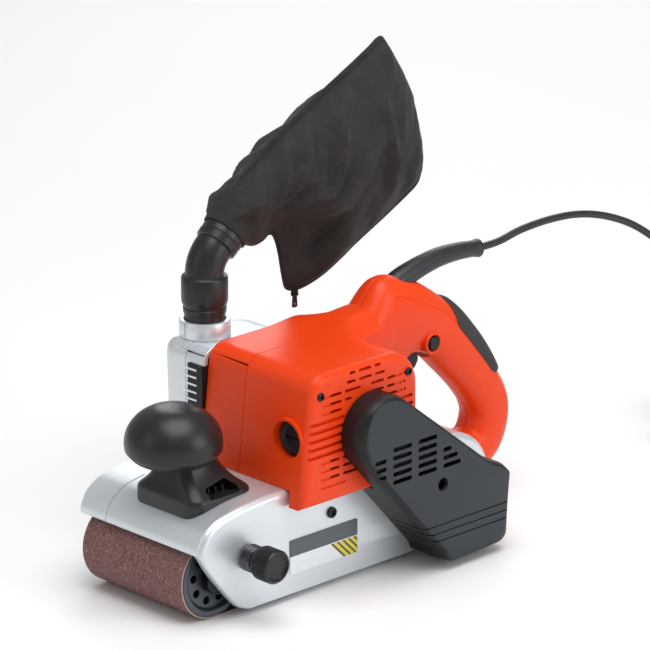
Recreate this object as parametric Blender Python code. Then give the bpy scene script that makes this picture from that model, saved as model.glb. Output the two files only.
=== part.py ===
"""Handheld belt sander for a 100 x 610 mm belt, with its drive, dust bag and mains cord.

The origin is the centre of the belt's flat working face. -X is the front, with the round knob, +X is
the rear, with the D handle, -Y is the side with the drive guard and +Z is up. Dimensions are in
millimetres, and MM turns them into Blender's metres as each mesh is made.
"""

import math

import bmesh
import bpy
from mathutils import Matrix, Vector

MM = 0.001
GAP = 0.3  # clearance between pieces that touch on the real machine

# ---------------------------------------------------------------- driving dimensions
BELT_LENGTH = 610.0
BELT_WIDTH = 100.0
BELT_THICK = 1.0
ROLLER_R = 27.7  # both rollers, under the belt
BELT_R = ROLLER_R + GAP + BELT_THICK  # outside of the belt where it goes round a roller
ROLLER_X = (BELT_LENGTH - 2 * math.pi * (BELT_R - BELT_THICK)) / 4  # rollers stand at +-ROLLER_X
AXLE_R = 6.0

DECK_Z = 80.0  # top of the cast frame, where the motor stands
WALL_Y = -64.0  # outer face of the frame's side wall
WALL_THICK = 6.0
HOOD_GAP_R = BELT_R + 2.5  # inside of the hoods over the rollers
HOLLOW_LOW, HOLLOW_HIGH = (-6.0, -52.0, 11.0), (80.0, 38.0, 44.0)  # inside the frame's block, open to the rear

MOTOR_X, MOTOR_Z = 7.0, 113.0  # motor shaft, along Y
HOUSING_NEAR_Y, HOUSING_FAR_Y = -80.0, 22.0
GUARD_Y = -100.0  # outer face of the drive guard
COUNTER_X, COUNTER_Z = 92.0, 38.0  # countershaft, along Y
MOTOR_TEETH, COUNTER_TEETH = 12, 48  # drive belt pulleys, 3 mm pitch
BELT_PITCH = 3.0
PINION_TEETH, GEAR_TEETH = 20, 27

HANDLE_Y = -5.0  # middle plane of the rear handle
KNOB_X, KNOB_Y, KNOB_Z = -108.0, -13.0, 119.0
OUTLET_X, OUTLET_Y = -25.5, 48.0  # vertical axis of the dust outlet
OUTLET_Z = 157.0

TRACK_X, TRACK_Z = -90.5, 43.0  # tracking screw, along Y
LEVER_X, LEVER_Y, LEVER_Z = 20.0, 50.0, 29.0  # belt release lever, on a vertical pin
TRIGGER_X, TRIGGER_Z = 101.0, 124.0  # trigger pivot, along Y
LOCK_X, LOCK_Z = 126.0, 132.0  # lock-on button, along Y
PULL_X, PULL_Z = 59.0, 167.0  # zip puller pivot, along Y

CORD_R = 2.7
COIL_X, COIL_Y, COIL_R = 433.0, -20.0, 30.0
COIL_LOW, COIL_HIGH, COIL_HALF = 1.6, 23.6, 11.0
PLUG_Y, PLUG_Z = COIL_Y - COIL_R - 8.3, 17.6

# The rear handle: centre (x, z), direction of its run, half height across it and half width.
HANDLE_STATIONS = [
    (52.6, 138.5, 0, 21.5, 20.0),
    (70.0, 142.5, 6, 24.0, 19.0),
    (87.0, 151.0, 2, 33.0, 17.5),
    (104.0, 148.5, -8, 33.0, 17.0),
    (122.7, 145.3, -28, 25.0, 16.5),
    (140.7, 135.3, -43, 21.0, 16.0),
    (161.1, 114.1, -45, 18.8, 16.0),
    (179.0, 93.5, -50, 17.2, 16.0),
    (191.0, 76.0, -66, 17.2, 16.0),
    (194.6, 60.0, -92, 17.3, 16.0),
    (187.0, 41.5, -130, 17.3, 16.0),
    (168.0, 34.5, -172, 17.8, 16.5),
    (141.8, 35.0, -180, 18.5, 17.5),
]
PAD_FIRST, PAD_LAST = 4.6, 7.5  # stretch of the handle under the rubber pad, in stations

# The dust bag: centre (x, z), direction, half height and half width.
BAG_STATIONS = [
    (-2.6, 224.2, 40, 16.6, 16.6),
    (7.0, 233.0, 30, 21.0, 18.5),
    (22.0, 241.0, 10, 31.0, 20.0),
    (37.0, 247.0, 0, 34.0, 22.0),
    (43.0, 245.0, 0, 39.5, 23.0),
    (47.0, 236.0, 0, 51.5, 24.0),
    (52.0, 231.0, 0, 59.5, 25.0),
    (66.0, 234.0, 0, 64.5, 27.0),
    (95.0, 245.8, 0, 68.5, 28.0),
    (122.0, 259.5, 0, 68.0, 27.0),
    (141.0, 268.8, 0, 67.3, 22.0),
    (151.0, 268.0, 0, 61.0, 18.0),
    (163.0, 260.0, 0, 48.0, 14.0),
    (176.0, 253.5, 0, 34.5, 9.0),
    (184.0, 244.0, 0, 18.0, 4.0),
]

# The cord from its sleeve to the coil, as (x, y, z).
CORD_ROUTE = [
    (188.6, -5, 184.3),
    (209, -5, 184.9),
    (231, -5, 188.6),
    (261, -5, 189.8),
    (292, -5, 187),
    (324, -5, 178),
    (356, -5, 162.5),
    (384, -11, 139),
    (401, -25, 110),
    (407, -41, 84),
    (407.5, -50, 65.5),
    (406.4, -51.4, 52),
    (405, -47.5, 40.2),
    (404, -39.5, 31.4),
    (403.4, -30, 27.3),
    (403.2, -21, 26.6),
]
SLEEVE_ROUTE = [
    (99, 173.5),
    (108, 178),
    (120, 181.6),
    (135, 184.8),
    (150, 186.6),
    (168, 186.4),
    (188.2, 184.4),
]
SLEEVE_RADII = [8.2, 8.2, 7.9, 7.4, 7.0, 6.4, 5.8]


# ---------------------------------------------------------------- outlines
def arc(x, z, radius, start, end, steps):
    """Points of an arc, from one angle to the other in degrees, both ends included."""
    angles = [math.radians(start + (end - start) * i / steps) for i in range(steps + 1)]
    return [(x + radius * math.cos(a), z + radius * math.sin(a)) for a in angles]


def around(first, first_r, second, second_r, steps):
    """The closed outline of a belt drawn tight round two wheels."""
    run = Vector(second) - Vector(first)
    heading = math.degrees(math.atan2(run.y, run.x))
    lean = math.degrees(math.acos((first_r - second_r) / run.length))
    return arc(*first, first_r, heading + lean, heading + 360 - lean, steps) + arc(
        *second, second_r, heading - lean, heading + lean, steps
    )


def inset(outline, distance):
    """The outline with each side of it moved inwards; it runs anticlockwise as (x, z)."""
    moved = []
    count = len(outline)
    for i in range(count):
        before, here, after = (Vector(outline[(i + k) % count]) for k in (-1, 0, 1))
        first, second = (here - before).normalized(), (after - here).normalized()
        normal = Vector((-first.y - second.y, first.x + second.x)).normalized()
        reach = distance / max(0.3, normal.dot(Vector((-first.y, first.x))))
        moved.append(tuple(here + normal * reach))
    return moved


def rounded_rectangle(left, right, near, far, radius):
    """The outline of a rectangle with round corners, as (x, y)."""
    corners = ((right, far, 0), (left, far, 90), (left, near, 180), (right, near, 270))
    points = []
    for x, y, start in corners:
        inwards_x = -radius if x == right else radius
        inwards_y = -radius if y == far else radius
        points += arc(x + inwards_x, y + inwards_y, radius, start, start + 90, 4)
    return points


def anticlockwise(outline):
    area = sum(a[0] * b[1] - b[0] * a[1] for a, b in zip(outline, outline[1:] + outline[:1]))
    return outline if area > 0 else outline[::-1]


def smooth(rows, per_span):
    """Rows of numbers read along a Catmull-Rom curve through the given rows."""
    ends = [rows[0]] + list(rows) + [rows[-1]]
    out = []
    for i in range(len(rows) - 1):
        a, b, c, d = (Vector(ends[i + k]) for k in range(4))
        for step in range(per_span):
            t = step / per_span
            square = 2 * a - 5 * b + 4 * c - d
            cube = 3 * b - a - 3 * c + d
            out.append(0.5 * (2 * b + (c - a) * t + square * t**2 + cube * t**3))
    return out + [Vector(rows[-1])]


def row_at(rows, place):
    """The row at a fractional place along the smooth curve through rows."""
    fine = smooth(rows, 10)
    return fine[round(place * 10)]


# ---------------------------------------------------------------- shapes, in millimetres
def loft(rings, caps=True, closed=False):
    """Skin a list of rings of equal length; a closed loft joins the last ring to the first."""
    shape = bmesh.new()
    rows = [[shape.verts.new(point) for point in ring] for ring in rings]
    pairs = list(zip(rows, rows[1:])) + ([(rows[-1], rows[0])] if closed else [])
    for low, high in pairs:
        for i in range(len(low)):
            k = (i + 1) % len(low)
            shape.faces.new((low[i], low[k], high[k], high[i]))
    if caps and not closed:
        shape.faces.new(rows[0])
        shape.faces.new(rows[-1])
    return shape


def on_axis(axis, u, v, w):
    """A point from its two outline values and its place along the axis."""
    return {"X": (w, u, v), "Y": (u, w, v), "Z": (u, v, w)}[axis]


def prism(outline, axis, low, high):
    """An outline drawn along an axis: (y, z) along X, (x, z) along Y or (x, y) along Z."""
    return loft([[on_axis(axis, u, v, w) for u, v in outline] for w in (low, high)])


def frame_prism(outer, inner, axis, low, high):
    """A closed band between two outlines that have the same number of points."""
    order = ((outer, low), (outer, high), (inner, high), (inner, low))
    return loft([[on_axis(axis, u, v, w) for u, v in line] for line, w in order], closed=True)


def box(low, high):
    outline = [(low[0], low[1]), (high[0], low[1]), (high[0], high[1]), (low[0], high[1])]
    return prism(outline, "Z", low[2], high[2])


def turned(profile, centre, axis, steps=28):
    """A (radius, height) profile turned about an axis; it is a ring unless it starts on the axis."""
    shape = bmesh.new()
    rows = []
    for radius, height in profile:
        if radius < 1e-6:
            rows.append([shape.verts.new(on_axis(axis, centre[0], centre[1], height))] * steps)
            continue
        circle = arc(*centre, radius, 0, 360 - 360 / steps, steps - 1)
        rows.append([shape.verts.new(on_axis(axis, u, v, height)) for u, v in circle])
    solid = profile[0][0] < 1e-6
    pairs = list(zip(rows, rows[1:])) + ([] if solid else [(rows[-1], rows[0])])
    for low, high in pairs:
        for i in range(steps):
            k = (i + 1) % steps
            corners = []
            for vert in (low[i], low[k], high[k], high[i]):
                if vert not in corners:
                    corners.append(vert)
            shape.faces.new(corners)
    return shape


def cylinder(centre, radius, axis, low, high, steps=28):
    return turned([(0, low), (radius, low), (radius, high), (0, high)], centre, axis, steps)


def washer(centre, inner, outer, axis, low, high, steps=28):
    return turned([(inner, low), (outer, low), (outer, high), (inner, high)], centre, axis, steps)


def soften(shape, width, segments, chosen):
    """Round the edges whose two ends both pass a test on their position."""
    edges = [edge for edge in shape.edges if all(chosen(vert.co) for vert in edge.verts)]
    bmesh.ops.recalc_face_normals(shape, faces=shape.faces)
    bmesh.ops.bevel(shape, geom=edges, offset=width, segments=segments, profile=0.5, affect="EDGES")
    return shape


def at_y(value):
    return lambda point: abs(point.y - value) < 1e-3


def section(station, plane_y, first, last, steps, extra=0.0, power=2.4):
    """Part of an oval ring across a run in the XZ plane, from one angle to the other in degrees."""
    x, z, heading, half_height, half_width = station
    across = Vector((-math.sin(math.radians(heading)), 0, math.cos(math.radians(heading))))
    ring = []
    for i in range(steps + 1):
        angle = math.radians(first + (last - first) * i / steps)
        cosine, sine = math.cos(angle), math.sin(angle)
        side = math.copysign(abs(cosine) ** (2 / power), cosine) * (half_width + extra)
        rise = math.copysign(abs(sine) ** (2 / power), sine) * (half_height + extra)
        ring.append(Vector((x, plane_y + side, z)) + across * rise)
    return ring


def swept_rings(route, radii, plane_y, sides):
    """Round rings square to a route in the plane y = plane_y."""
    rings = []
    for i, (x, z) in enumerate(route):
        ahead = Vector(route[min(i + 1, len(route) - 1)]) - Vector(route[max(i - 1, 0)])
        heading = math.degrees(math.atan2(ahead.y, ahead.x))
        station = (x, z, heading, radii[i], radii[i])
        rings.append(section(station, plane_y, 0, 360 - 360 / sides, sides - 1, 0, 2))
    return rings


# ---------------------------------------------------------------- objects
def clear_scene():
    for thing in list(bpy.data.objects):
        bpy.data.objects.remove(thing, do_unlink=True)


def material(name, colour, roughness, metallic=0.0):
    """A Principled material; colour is sRGB, 0 to 255."""
    linear = [((c / 255 + 0.055) / 1.055) ** 2.4 if c > 10 else c / 255 / 12.92 for c in colour]
    made = bpy.data.materials.new(name)
    made.use_nodes = True
    shader = made.node_tree.nodes["Principled BSDF"]
    shader.inputs["Base Color"].default_value = (*linear, 1)
    shader.inputs["Roughness"].default_value = roughness
    shader.inputs["Metallic"].default_value = metallic
    return made


def pivot(name, x, y, z):
    """An empty on a joint's axis, which carries the pieces that turn or slide there."""
    empty = bpy.data.objects.new(name, None)
    empty.location = Vector((x, y, z)) * MM
    bpy.context.collection.objects.link(empty)
    return empty


def add_object(name, shape, parent=None):
    origin = parent.location if parent else Vector()
    bmesh.ops.recalc_face_normals(shape, faces=shape.faces)
    mesh = bpy.data.meshes.new(name)
    shape.to_mesh(mesh)
    shape.free()
    mesh.transform(Matrix.Translation(-origin) @ Matrix.Scale(MM, 4))
    mesh.shade_smooth()
    mesh.set_sharp_from_angle(angle=math.radians(32))
    made = bpy.data.objects.new(name, mesh)
    made.parent = parent
    bpy.context.collection.objects.link(made)
    return made


def part(name, shape, finish, parent=None):
    """One sub-part as one named object, with its origin on its pivot."""
    made = add_object(name, shape, parent)
    made.data.materials.append(finish)
    return made


def combine(target, shape, operation):
    tool = add_object(f"{target.name}_tool_{len(target.modifiers)}", shape)
    tool.hide_render = True
    tool.display_type = "WIRE"
    modifier = target.modifiers.new(tool.name, "BOOLEAN")
    modifier.operation = operation
    modifier.object = tool


def cut(target, shape):
    combine(target, shape, "DIFFERENCE")


def fuse(target, shape):
    combine(target, shape, "UNION")


# ---------------------------------------------------------------- finishes
clear_scene()
ORANGE = material("orange_plastic", (238, 84, 42), 0.4)
SILVER = material("silver_paint", (205, 214, 220), 0.35, 0.2)
BLACK = material("black_plastic", (38, 38, 40), 0.45)
SLATE = material("slate_plastic", (82, 90, 97), 0.45)
RUBBER = material("rubber", (30, 30, 31), 0.75)
GRIT = material("abrasive_cloth", (128, 78, 70), 0.95)
STEEL = material("steel", (150, 152, 155), 0.3, 1.0)
COPPER = material("copper", (184, 110, 70), 0.35, 1.0)
CORK = material("cork", (176, 128, 84), 0.9)
CLOTH = material("bag_cloth", (46, 45, 46), 0.9)
LABEL = material("label_film", (70, 74, 80), 0.4)

motor_axis = pivot("motor_axis", MOTOR_X, 0, MOTOR_Z)
counter_axis = pivot("counter_axis", COUNTER_X, 0, COUNTER_Z)
drive_axis = pivot("drive_axis", ROLLER_X, 0, BELT_R)
fork_slide = pivot("fork_slide", -ROLLER_X, 0, BELT_R)
lever_axis = pivot("lever_axis", LEVER_X, LEVER_Y, LEVER_Z)
tracking_axis = pivot("tracking_axis", TRACK_X, 0, TRACK_Z)
trigger_axis = pivot("trigger_axis", TRIGGER_X, HANDLE_Y, TRIGGER_Z)
lock_axis = pivot("lock_axis", LOCK_X, HANDLE_Y, LOCK_Z)
swivel_axis = pivot("swivel_axis", OUTLET_X, OUTLET_Y, OUTLET_Z)
pull_axis = pivot("pull_axis", PULL_X, OUTLET_Y, PULL_Z)

FRONT = (-ROLLER_X, BELT_R)
REAR = (ROLLER_X, BELT_R)
MOTOR = (MOTOR_X, MOTOR_Z)
COUNTER = (COUNTER_X, COUNTER_Z)

# ---------------------------------------------------------------- cast frame
HOOD_FRONT = [(-133, 53), (-131.6, 59), (-127, 66.7), (-119.6, 72), (-112, 75), (-92.6, 78.3)]
HOOD_FRONT.append((-70, DECK_Z))
HOOD_REAR = arc(104, 43, 37, 90, 0, 6)


def build_frame():
    front_under = arc(*FRONT, HOOD_GAP_R, 90, 135, 4)
    rear_under = arc(*REAR, HOOD_GAP_R, -12, 90, 8)
    deck = HOOD_FRONT + HOOD_REAR + [(141, 22.5)] + rear_under + front_under
    frame = part("base_frame", prism(deck, "Y", -60, 57), SILVER)
    slope = [(-88, 3.6), (-97, 7.3), (-104, 14), (-111, 22), (-120, 33), (-127, 43)]
    heel = [(141, 34), (137, 20), (128, 9), (114, 3.6)]
    wall = prism(HOOD_FRONT + HOOD_REAR + heel + slope, "Y", WALL_Y, WALL_Y + WALL_THICK)
    fuse(frame, soften(wall, 2.2, 2, at_y(WALL_Y)))
    fuse(frame, box((-45, WALL_Y + 4, 5.0), (74, 45, 50)))
    cut(frame, box(HOLLOW_LOW, HOLLOW_HIGH))
    cut(frame, cylinder((0, BELT_R), 9.3, "X", -50, -16))
    cut(frame, cylinder(REAR, 11.3, "Y", WALL_Y - 5, WALL_Y + 9))
    cut(frame, cylinder(COUNTER, 6.3, "Y", WALL_Y - 5, WALL_Y + 9, 20))
    cut(frame, cylinder((TRACK_X, TRACK_Z), 3.4, "Y", WALL_Y - 5, WALL_Y + 9, 16))
    for low, high in ((15, 22.7), (35.3, 43)):
        lug = arc(LEVER_X, LEVER_Y, 5, 0, 180, 8) + [(LEVER_X - 5, 44), (LEVER_X + 5, 44)]
        fuse(frame, prism(lug, "Z", low, high))


def build_platen():
    part("cork_pad", box((-72, -48, BELT_THICK + 0.4), (74, 48, 3.0)), CORK)
    part("platen_plate", box((-76, -48, 3.3), (78, 48, 4.7)), STEEL)
    inner = around(FRONT, ROLLER_R + GAP, REAR, ROLLER_R + GAP, 14)
    outer = around(FRONT, BELT_R, REAR, BELT_R, 14)
    part("sanding_belt", frame_prism(outer, inner, "Y", -BELT_WIDTH / 2, BELT_WIDTH / 2), GRIT)


def build_side_details():
    label = [(-52, 19), (11, 19), (11, 43.5), (-52, 43.5)]
    part("side_label", prism(label, "Y", WALL_Y - 0.8, WALL_Y - GAP), LABEL)
    part("side_screw", cylinder((-13.4, 54.2), 4.0, "Y", WALL_Y - 2.2, WALL_Y - GAP, 16), BLACK)


# ---------------------------------------------------------------- motor
HOUSING = anticlockwise(
    [(-56, 69), (-54, 85), (-46.5, 148), (-43, 155), (-36, 159), (-24, 160.8), (12, 161), (31, 158.6)]
    + [(43, 155), (49, 150), (51.5, 141), (52, 69)]
)
BRUSH_Y, BRUSH_Z = -63.5, 114.5


def build_motor_housing():
    shell = soften(prism(HOUSING, "Y", HOUSING_NEAR_Y, HOUSING_FAR_Y), 6, 3, at_y(HOUSING_NEAR_Y))
    housing = part("motor_housing", shell, ORANGE)
    cut(housing, box((-70, WALL_Y - 2.3, 60), (70, 30, DECK_Z + GAP)))
    cut(housing, prism([(x, max(z, 76)) for x, z in inset(HOUSING, 3)], "Y", -77, 30))
    fuse(housing, washer(MOTOR, 11.3, 14.5, "Y", -77.5, -69.5))
    cut(housing, cylinder(MOTOR, 8.0, "Y", -90, -76))
    cut(housing, cylinder((BRUSH_Y, BRUSH_Z), 12.5, "X", -62, -40))
    cut(housing, cylinder((BRUSH_Y, BRUSH_Z), 12.5, "X", 42, 58))
    for name, x, z in (("housing_screw_front", -38.5, 147), ("housing_screw_rear", 42.5, 145)):
        part(name, cylinder((x, z), 3.0, "Y", -82, HOUSING_NEAR_Y - GAP, 14), BLACK)


def build_stator():
    near_end = [(18.5, -52), (22, -56), (29, -56), (30, -48), (32.3, -48)]
    far_end = [(32.3, -12), (30, -12), (29, -4), (22, -4), (18.5, -8)]
    part("stator", turned(near_end + far_end, MOTOR, "Y", 32), COPPER)
    part("bearing_near", washer(MOTOR, 4.3, 11, "Y", -76, -69.5, 24), STEEL)
    part("bearing_far", washer(MOTOR, 4.3, 11, "Y", 50, 57, 24), STEEL)
    reach = 11.8
    for name, near, far in (("front", MOTOR_X - reach, -29), ("rear", MOTOR_X + reach, 41)):
        inner_end, outer_end = sorted((near, far))
        part(f"brush_{name}", box((inner_end, -69, 110), (outer_end, -61, 116)), RUBBER)
    part("brush_cap_front", cylinder((BRUSH_Y, BRUSH_Z), 10, "X", -48.5, -43, 20), BLACK)
    part("brush_cap_rear", cylinder((BRUSH_Y, BRUSH_Z), 10, "X", 44.5, 50, 20), BLACK)


def build_rotor():
    part("motor_shaft", cylinder(MOTOR, 4, "Y", -96, 57, 16), STEEL, motor_axis)
    part("armature", washer(MOTOR, 4.3, 17.8, "Y", -54, -6), COPPER, motor_axis)
    part("commutator", washer(MOTOR, 4.3, 11.5, "Y", -68.5, -57), COPPER, motor_axis)
    fan = part("fan", washer(MOTOR, 4.3, 28.5, "Y", 26, 28.5, 32), BLACK, motor_axis)
    fuse(fan, washer(MOTOR, 4.3, 9, "Y", 28, 44, 16))
    for i in range(9):
        blade = box((8, 28, -1), (27.5, 42, 1))
        turn = Matrix.Rotation(math.radians(40 * i), 4, "Y")
        blade.transform(Matrix.Translation((MOTOR_X, 0, MOTOR_Z)) @ turn)
        fuse(fan, blade)


# ---------------------------------------------------------------- belt and gear drive
def pulley_profile(bore, pitch_r):
    low, high, lip = -93.6, -83.8, 1.2
    core, rim = pitch_r - 0.4, pitch_r + 2.6
    near_flange = [(rim, low), (rim, low + lip), (core, low + lip)]
    far_flange = [(core, high - lip), (rim, high - lip), (rim, high)]
    return [(bore, low)] + near_flange + far_flange + [(bore, high)]


def gear_outline(centre, teeth, module, turn):
    """A spur gear with straight flanks and a little backlash."""
    points = []
    for tooth in range(teeth):
        for share, reach in ((-0.31, -1.2), (-0.11, 0.85), (0.11, 0.85), (0.31, -1.2)):
            angle = 2 * math.pi * (tooth + share) / teeth + turn
            radius = module * (teeth / 2 + reach)
            points.append((centre[0] + radius * math.cos(angle), centre[1] + radius * math.sin(angle)))
    return points


def build_drive():
    motor_r = MOTOR_TEETH * BELT_PITCH / (2 * math.pi)
    counter_r = COUNTER_TEETH * BELT_PITCH / (2 * math.pi)
    inner = around(MOTOR, motor_r, COUNTER, counter_r, 14)
    outer = around(MOTOR, motor_r + 2.2, COUNTER, counter_r + 2.2, 14)
    part("drive_belt", frame_prism(outer, inner, "Y", -92, -85.4), RUBBER)
    part("motor_pulley", turned(pulley_profile(4.3, motor_r), MOTOR, "Y", 24), STEEL, motor_axis)
    part("counter_pulley", turned(pulley_profile(4.3, counter_r), COUNTER, "Y", 36), BLACK, counter_axis)

    mesh_line = Vector(REAR) - Vector(COUNTER)
    module = 2 * mesh_line.length / (PINION_TEETH + GEAR_TEETH)
    facing = math.atan2(mesh_line.y, mesh_line.x)
    shaft = part("pinion_shaft", cylinder(COUNTER, 4, "Y", -96, -58.6, 16), STEEL, counter_axis)
    fuse(shaft, prism(gear_outline(COUNTER, PINION_TEETH, module, facing), "Y", -79, -68))
    half_tooth = math.pi / GEAR_TEETH
    teeth = gear_outline(REAR, GEAR_TEETH, module, facing + math.pi + half_tooth)
    gear = part("drive_gear", prism(teeth, "Y", -78, -69), STEEL, drive_axis)
    cut(gear, cylinder(REAR, AXLE_R + GAP, "Y", -90, -60, 24))
    part("drive_bearing", washer(REAR, AXLE_R + GAP, 11, "Y", WALL_Y, WALL_Y + WALL_THICK, 24), STEEL)
    part("drive_axle", cylinder(REAR, AXLE_R, "Y", -82, 47, 24), STEEL, drive_axis)
    bore = AXLE_R + GAP
    roller = [(bore, -51), (ROLLER_R, -51), (ROLLER_R, 51), (22, 51), (20, 44), (bore, 44)]
    part("drive_roller", turned(roller, REAR, "Y", 36), RUBBER, drive_axis)


GUARD = anticlockwise(
    arc(7.5, 113.5, 27, 52, 222, 14)
    + [(64, 9.5), (70, 5), (117, 5), (123, 8), (126, 14), (126, 57), (122, 63.5), (113, 67), (104.8, 71)]
)
GUARD_SCREW = (58.5, 65)


def build_guard():
    shell = soften(prism(GUARD, "Y", GUARD_Y, WALL_Y - GAP), 6, 3, at_y(GUARD_Y))
    guard = part("belt_guard", shell, SLATE)
    cut(guard, prism(inset(GUARD, 2.5), "Y", GUARD_Y + 2.5, WALL_Y + 5))
    cut(guard, box((-60, HOUSING_NEAR_Y - GAP, 69 - GAP), (52 + GAP, WALL_Y + 5, 160)))
    fuse(guard, cylinder(GUARD_SCREW, 6.5, "Y", GUARD_Y + 1, WALL_Y - GAP, 20))
    cut(guard, cylinder(GUARD_SCREW, 4.6, "Y", GUARD_Y - 5, -72, 20))
    cut(guard, cylinder(GUARD_SCREW, 2.4, "Y", -75, WALL_Y + 5, 12))
    bolt = [(0, -77), (4, -77), (4, -72.3), (2, -72.3), (2, WALL_Y - 2 * GAP), (0, WALL_Y - 2 * GAP)]
    part("guard_screw", turned(bolt, GUARD_SCREW, "Y", 14), STEEL)


# ---------------------------------------------------------------- belt tension and tracking
def build_fork():
    arms = [(-62, 17), (-100, 18)] + arc(*FRONT, 10.5, 270, 90, 8) + [(-99, 47), (-62, 47)]
    fork = part("roller_fork", prism(arms, "Y", -56.5, 56.5), STEEL, fork_slide)
    cut(fork, prism([(-150, 0), (-74, 0), (-74, 60), (-150, 60)], "Y", -52, 52))
    cut(fork, cylinder(FRONT, AXLE_R + GAP, "Y", -60, 60))
    fuse(fork, cylinder((0, BELT_R), 5, "X", -63, -27, 20))
    part("front_axle", cylinder(FRONT, AXLE_R, "Y", -57.3, 57.3, 24), STEEL, fork_slide)
    roller = [(AXLE_R + GAP, -45), (22, -45), (24, -51), (ROLLER_R, -51), (ROLLER_R, 51), (24, 51), (22, 45)]
    part("front_roller", turned(roller + [(AXLE_R + GAP, 45)], FRONT, "Y", 36), SLATE, fork_slide)
    coil_spring("tension_spring", "X", (0, BELT_R), 7.4, 0.9, -60.8, -32, 6, STEEL, fork_slide)


def coil_spring(name, axis, centre, radius, wire, low, high, turns, finish, parent=None):
    """A helical spring of round wire along an axis."""
    per_turn, sides = 10, 5
    steps = turns * per_turn
    rings = []
    for i in range(steps + 1):
        angle = 2 * math.pi * i / per_turn
        along = low + wire + (high - low - 2 * wire) * i / steps
        ring = []
        for k in range(sides):
            around_wire = 2 * math.pi * k / sides
            reach = radius + wire * math.cos(around_wire)
            spot = (centre[0] + reach * math.cos(angle), centre[1] + reach * math.sin(angle))
            ring.append(on_axis(axis, *spot, along + wire * math.sin(around_wire)))
        rings.append(ring)
    part(name, loft(rings), finish, parent)


def build_lever():
    boss = arc(LEVER_X, LEVER_Y, 4, 40, 300, 8)
    arm = [(LEVER_X + 10, LEVER_Y - 2.5), (LEVER_X + 44, LEVER_Y - 2.5), (LEVER_X + 47, LEVER_Y)]
    tip = [(LEVER_X + 47, LEVER_Y + 4), (LEVER_X + 42, LEVER_Y + 4), (LEVER_X + 34, LEVER_Y + 1.5)]
    outline = anticlockwise(boss + arm + tip)
    part("tension_lever", prism(outline, "Z", LEVER_Z - 6, LEVER_Z + 6), BLACK, lever_axis)


def build_tracking():
    centre = (TRACK_X, TRACK_Z)
    profile = [(0, -94), (9, -94), (11.8, -91.5), (11.8, -78), (10, -76.5), (3, -76.5)]
    profile += [(3, -57.2), (0, -57.2)]
    part("tracking_knob", turned(profile, centre, "Y", 24), BLACK, tracking_axis)
    coil_spring("tracking_spring", "Y", centre, 8.6, 1.0, -76.0, WALL_Y - GAP, 4, STEEL)


# ---------------------------------------------------------------- dust path
def build_fan_housing():
    volute = anticlockwise(
        [(-48, DECK_Z + GAP), (-50, 100), (-50, 146), (-47.5, 154), (-43, OUTLET_Z)]
        + arc(*MOTOR, 44, 90, -47, 12)
    )
    shell = soften(prism(volute, "Y", HOUSING_FAR_Y + GAP, 64), 9, 3, at_y(64))
    housing = part("fan_housing", shell, SILVER)
    cut(housing, prism(inset(volute, 3), "Y", 15, 60))
    fuse(housing, washer(MOTOR, 11.3, 14.5, "Y", 50, 60.5, 24))
    cut(housing, cylinder((OUTLET_X, OUTLET_Y), 11.5, "Z", 150, 165))
    part("fan_grille", box((-51.8, 24, 94), (-50 - GAP, 37, 134)), BLACK)
    collar = [(12.5, OUTLET_Z + GAP), (17.5, OUTLET_Z + GAP), (17.5, 163), (16.8, 166), (12.5, 166)]
    part("outlet_collar", turned(collar, (OUTLET_X, OUTLET_Y), "Z"), SILVER)


def build_elbow():
    upright = [(OUTLET_X, 166.3), (OUTLET_X, 171), (OUTLET_X, 172), (OUTLET_X, 194), (OUTLET_X, 198)]
    bend = arc(OUTLET_X + 22, 200, 22, 174, 132, 3)
    out = Vector((math.sin(math.radians(50)), math.cos(math.radians(50))))
    end = [tuple(Vector(bend[-1]) + out * reach) for reach in (3.5, 4.2, 13.0)]
    route = upright + bend + end
    outer_r = [16.8, 16.8, 16.1, 16.1, 14.0, 13.5, 13.5, 13.5, 13.5, 13.5, 15.4, 15.4]
    inner_r = [min(radius - 2.2, 11.6) for radius in outer_r]
    outer = swept_rings(route, outer_r, OUTLET_Y, 20)
    inner = swept_rings(route, inner_r, OUTLET_Y, 20)
    part("dust_elbow", loft(outer + inner[::-1], closed=True), BLACK, swivel_axis)


def build_bag():
    rows = smooth(BAG_STATIONS, 2)
    rings = [section(row, OUTLET_Y, 0, 360 - 360 / 20, 19, 0, 2.0) for row in rows]
    part("dust_bag", loft(rings), CLOTH, swivel_axis)
    tag = ((-1.6, 0), (-2.4, -10), (2.4, -10), (1.6, 0))
    pull = [(PULL_X + x, PULL_Z + z) for x, z in tag]
    part("zip_puller", prism(pull, "Y", OUTLET_Y - 0.8, OUTLET_Y + 0.8), BLACK, pull_axis)


# ---------------------------------------------------------------- handles
def sleeve_rings(extra):
    radii = [radius + extra for radius in SLEEVE_RADII]
    return swept_rings(SLEEVE_ROUTE, radii, HANDLE_Y, 16)


TRIGGER_POCKET = [(98, 106), (124, 106), (131, 118), (131, 138)]
TRIGGER_POCKET += [(120, 150), (102, 150), (96, 142), (96, 112)]


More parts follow.
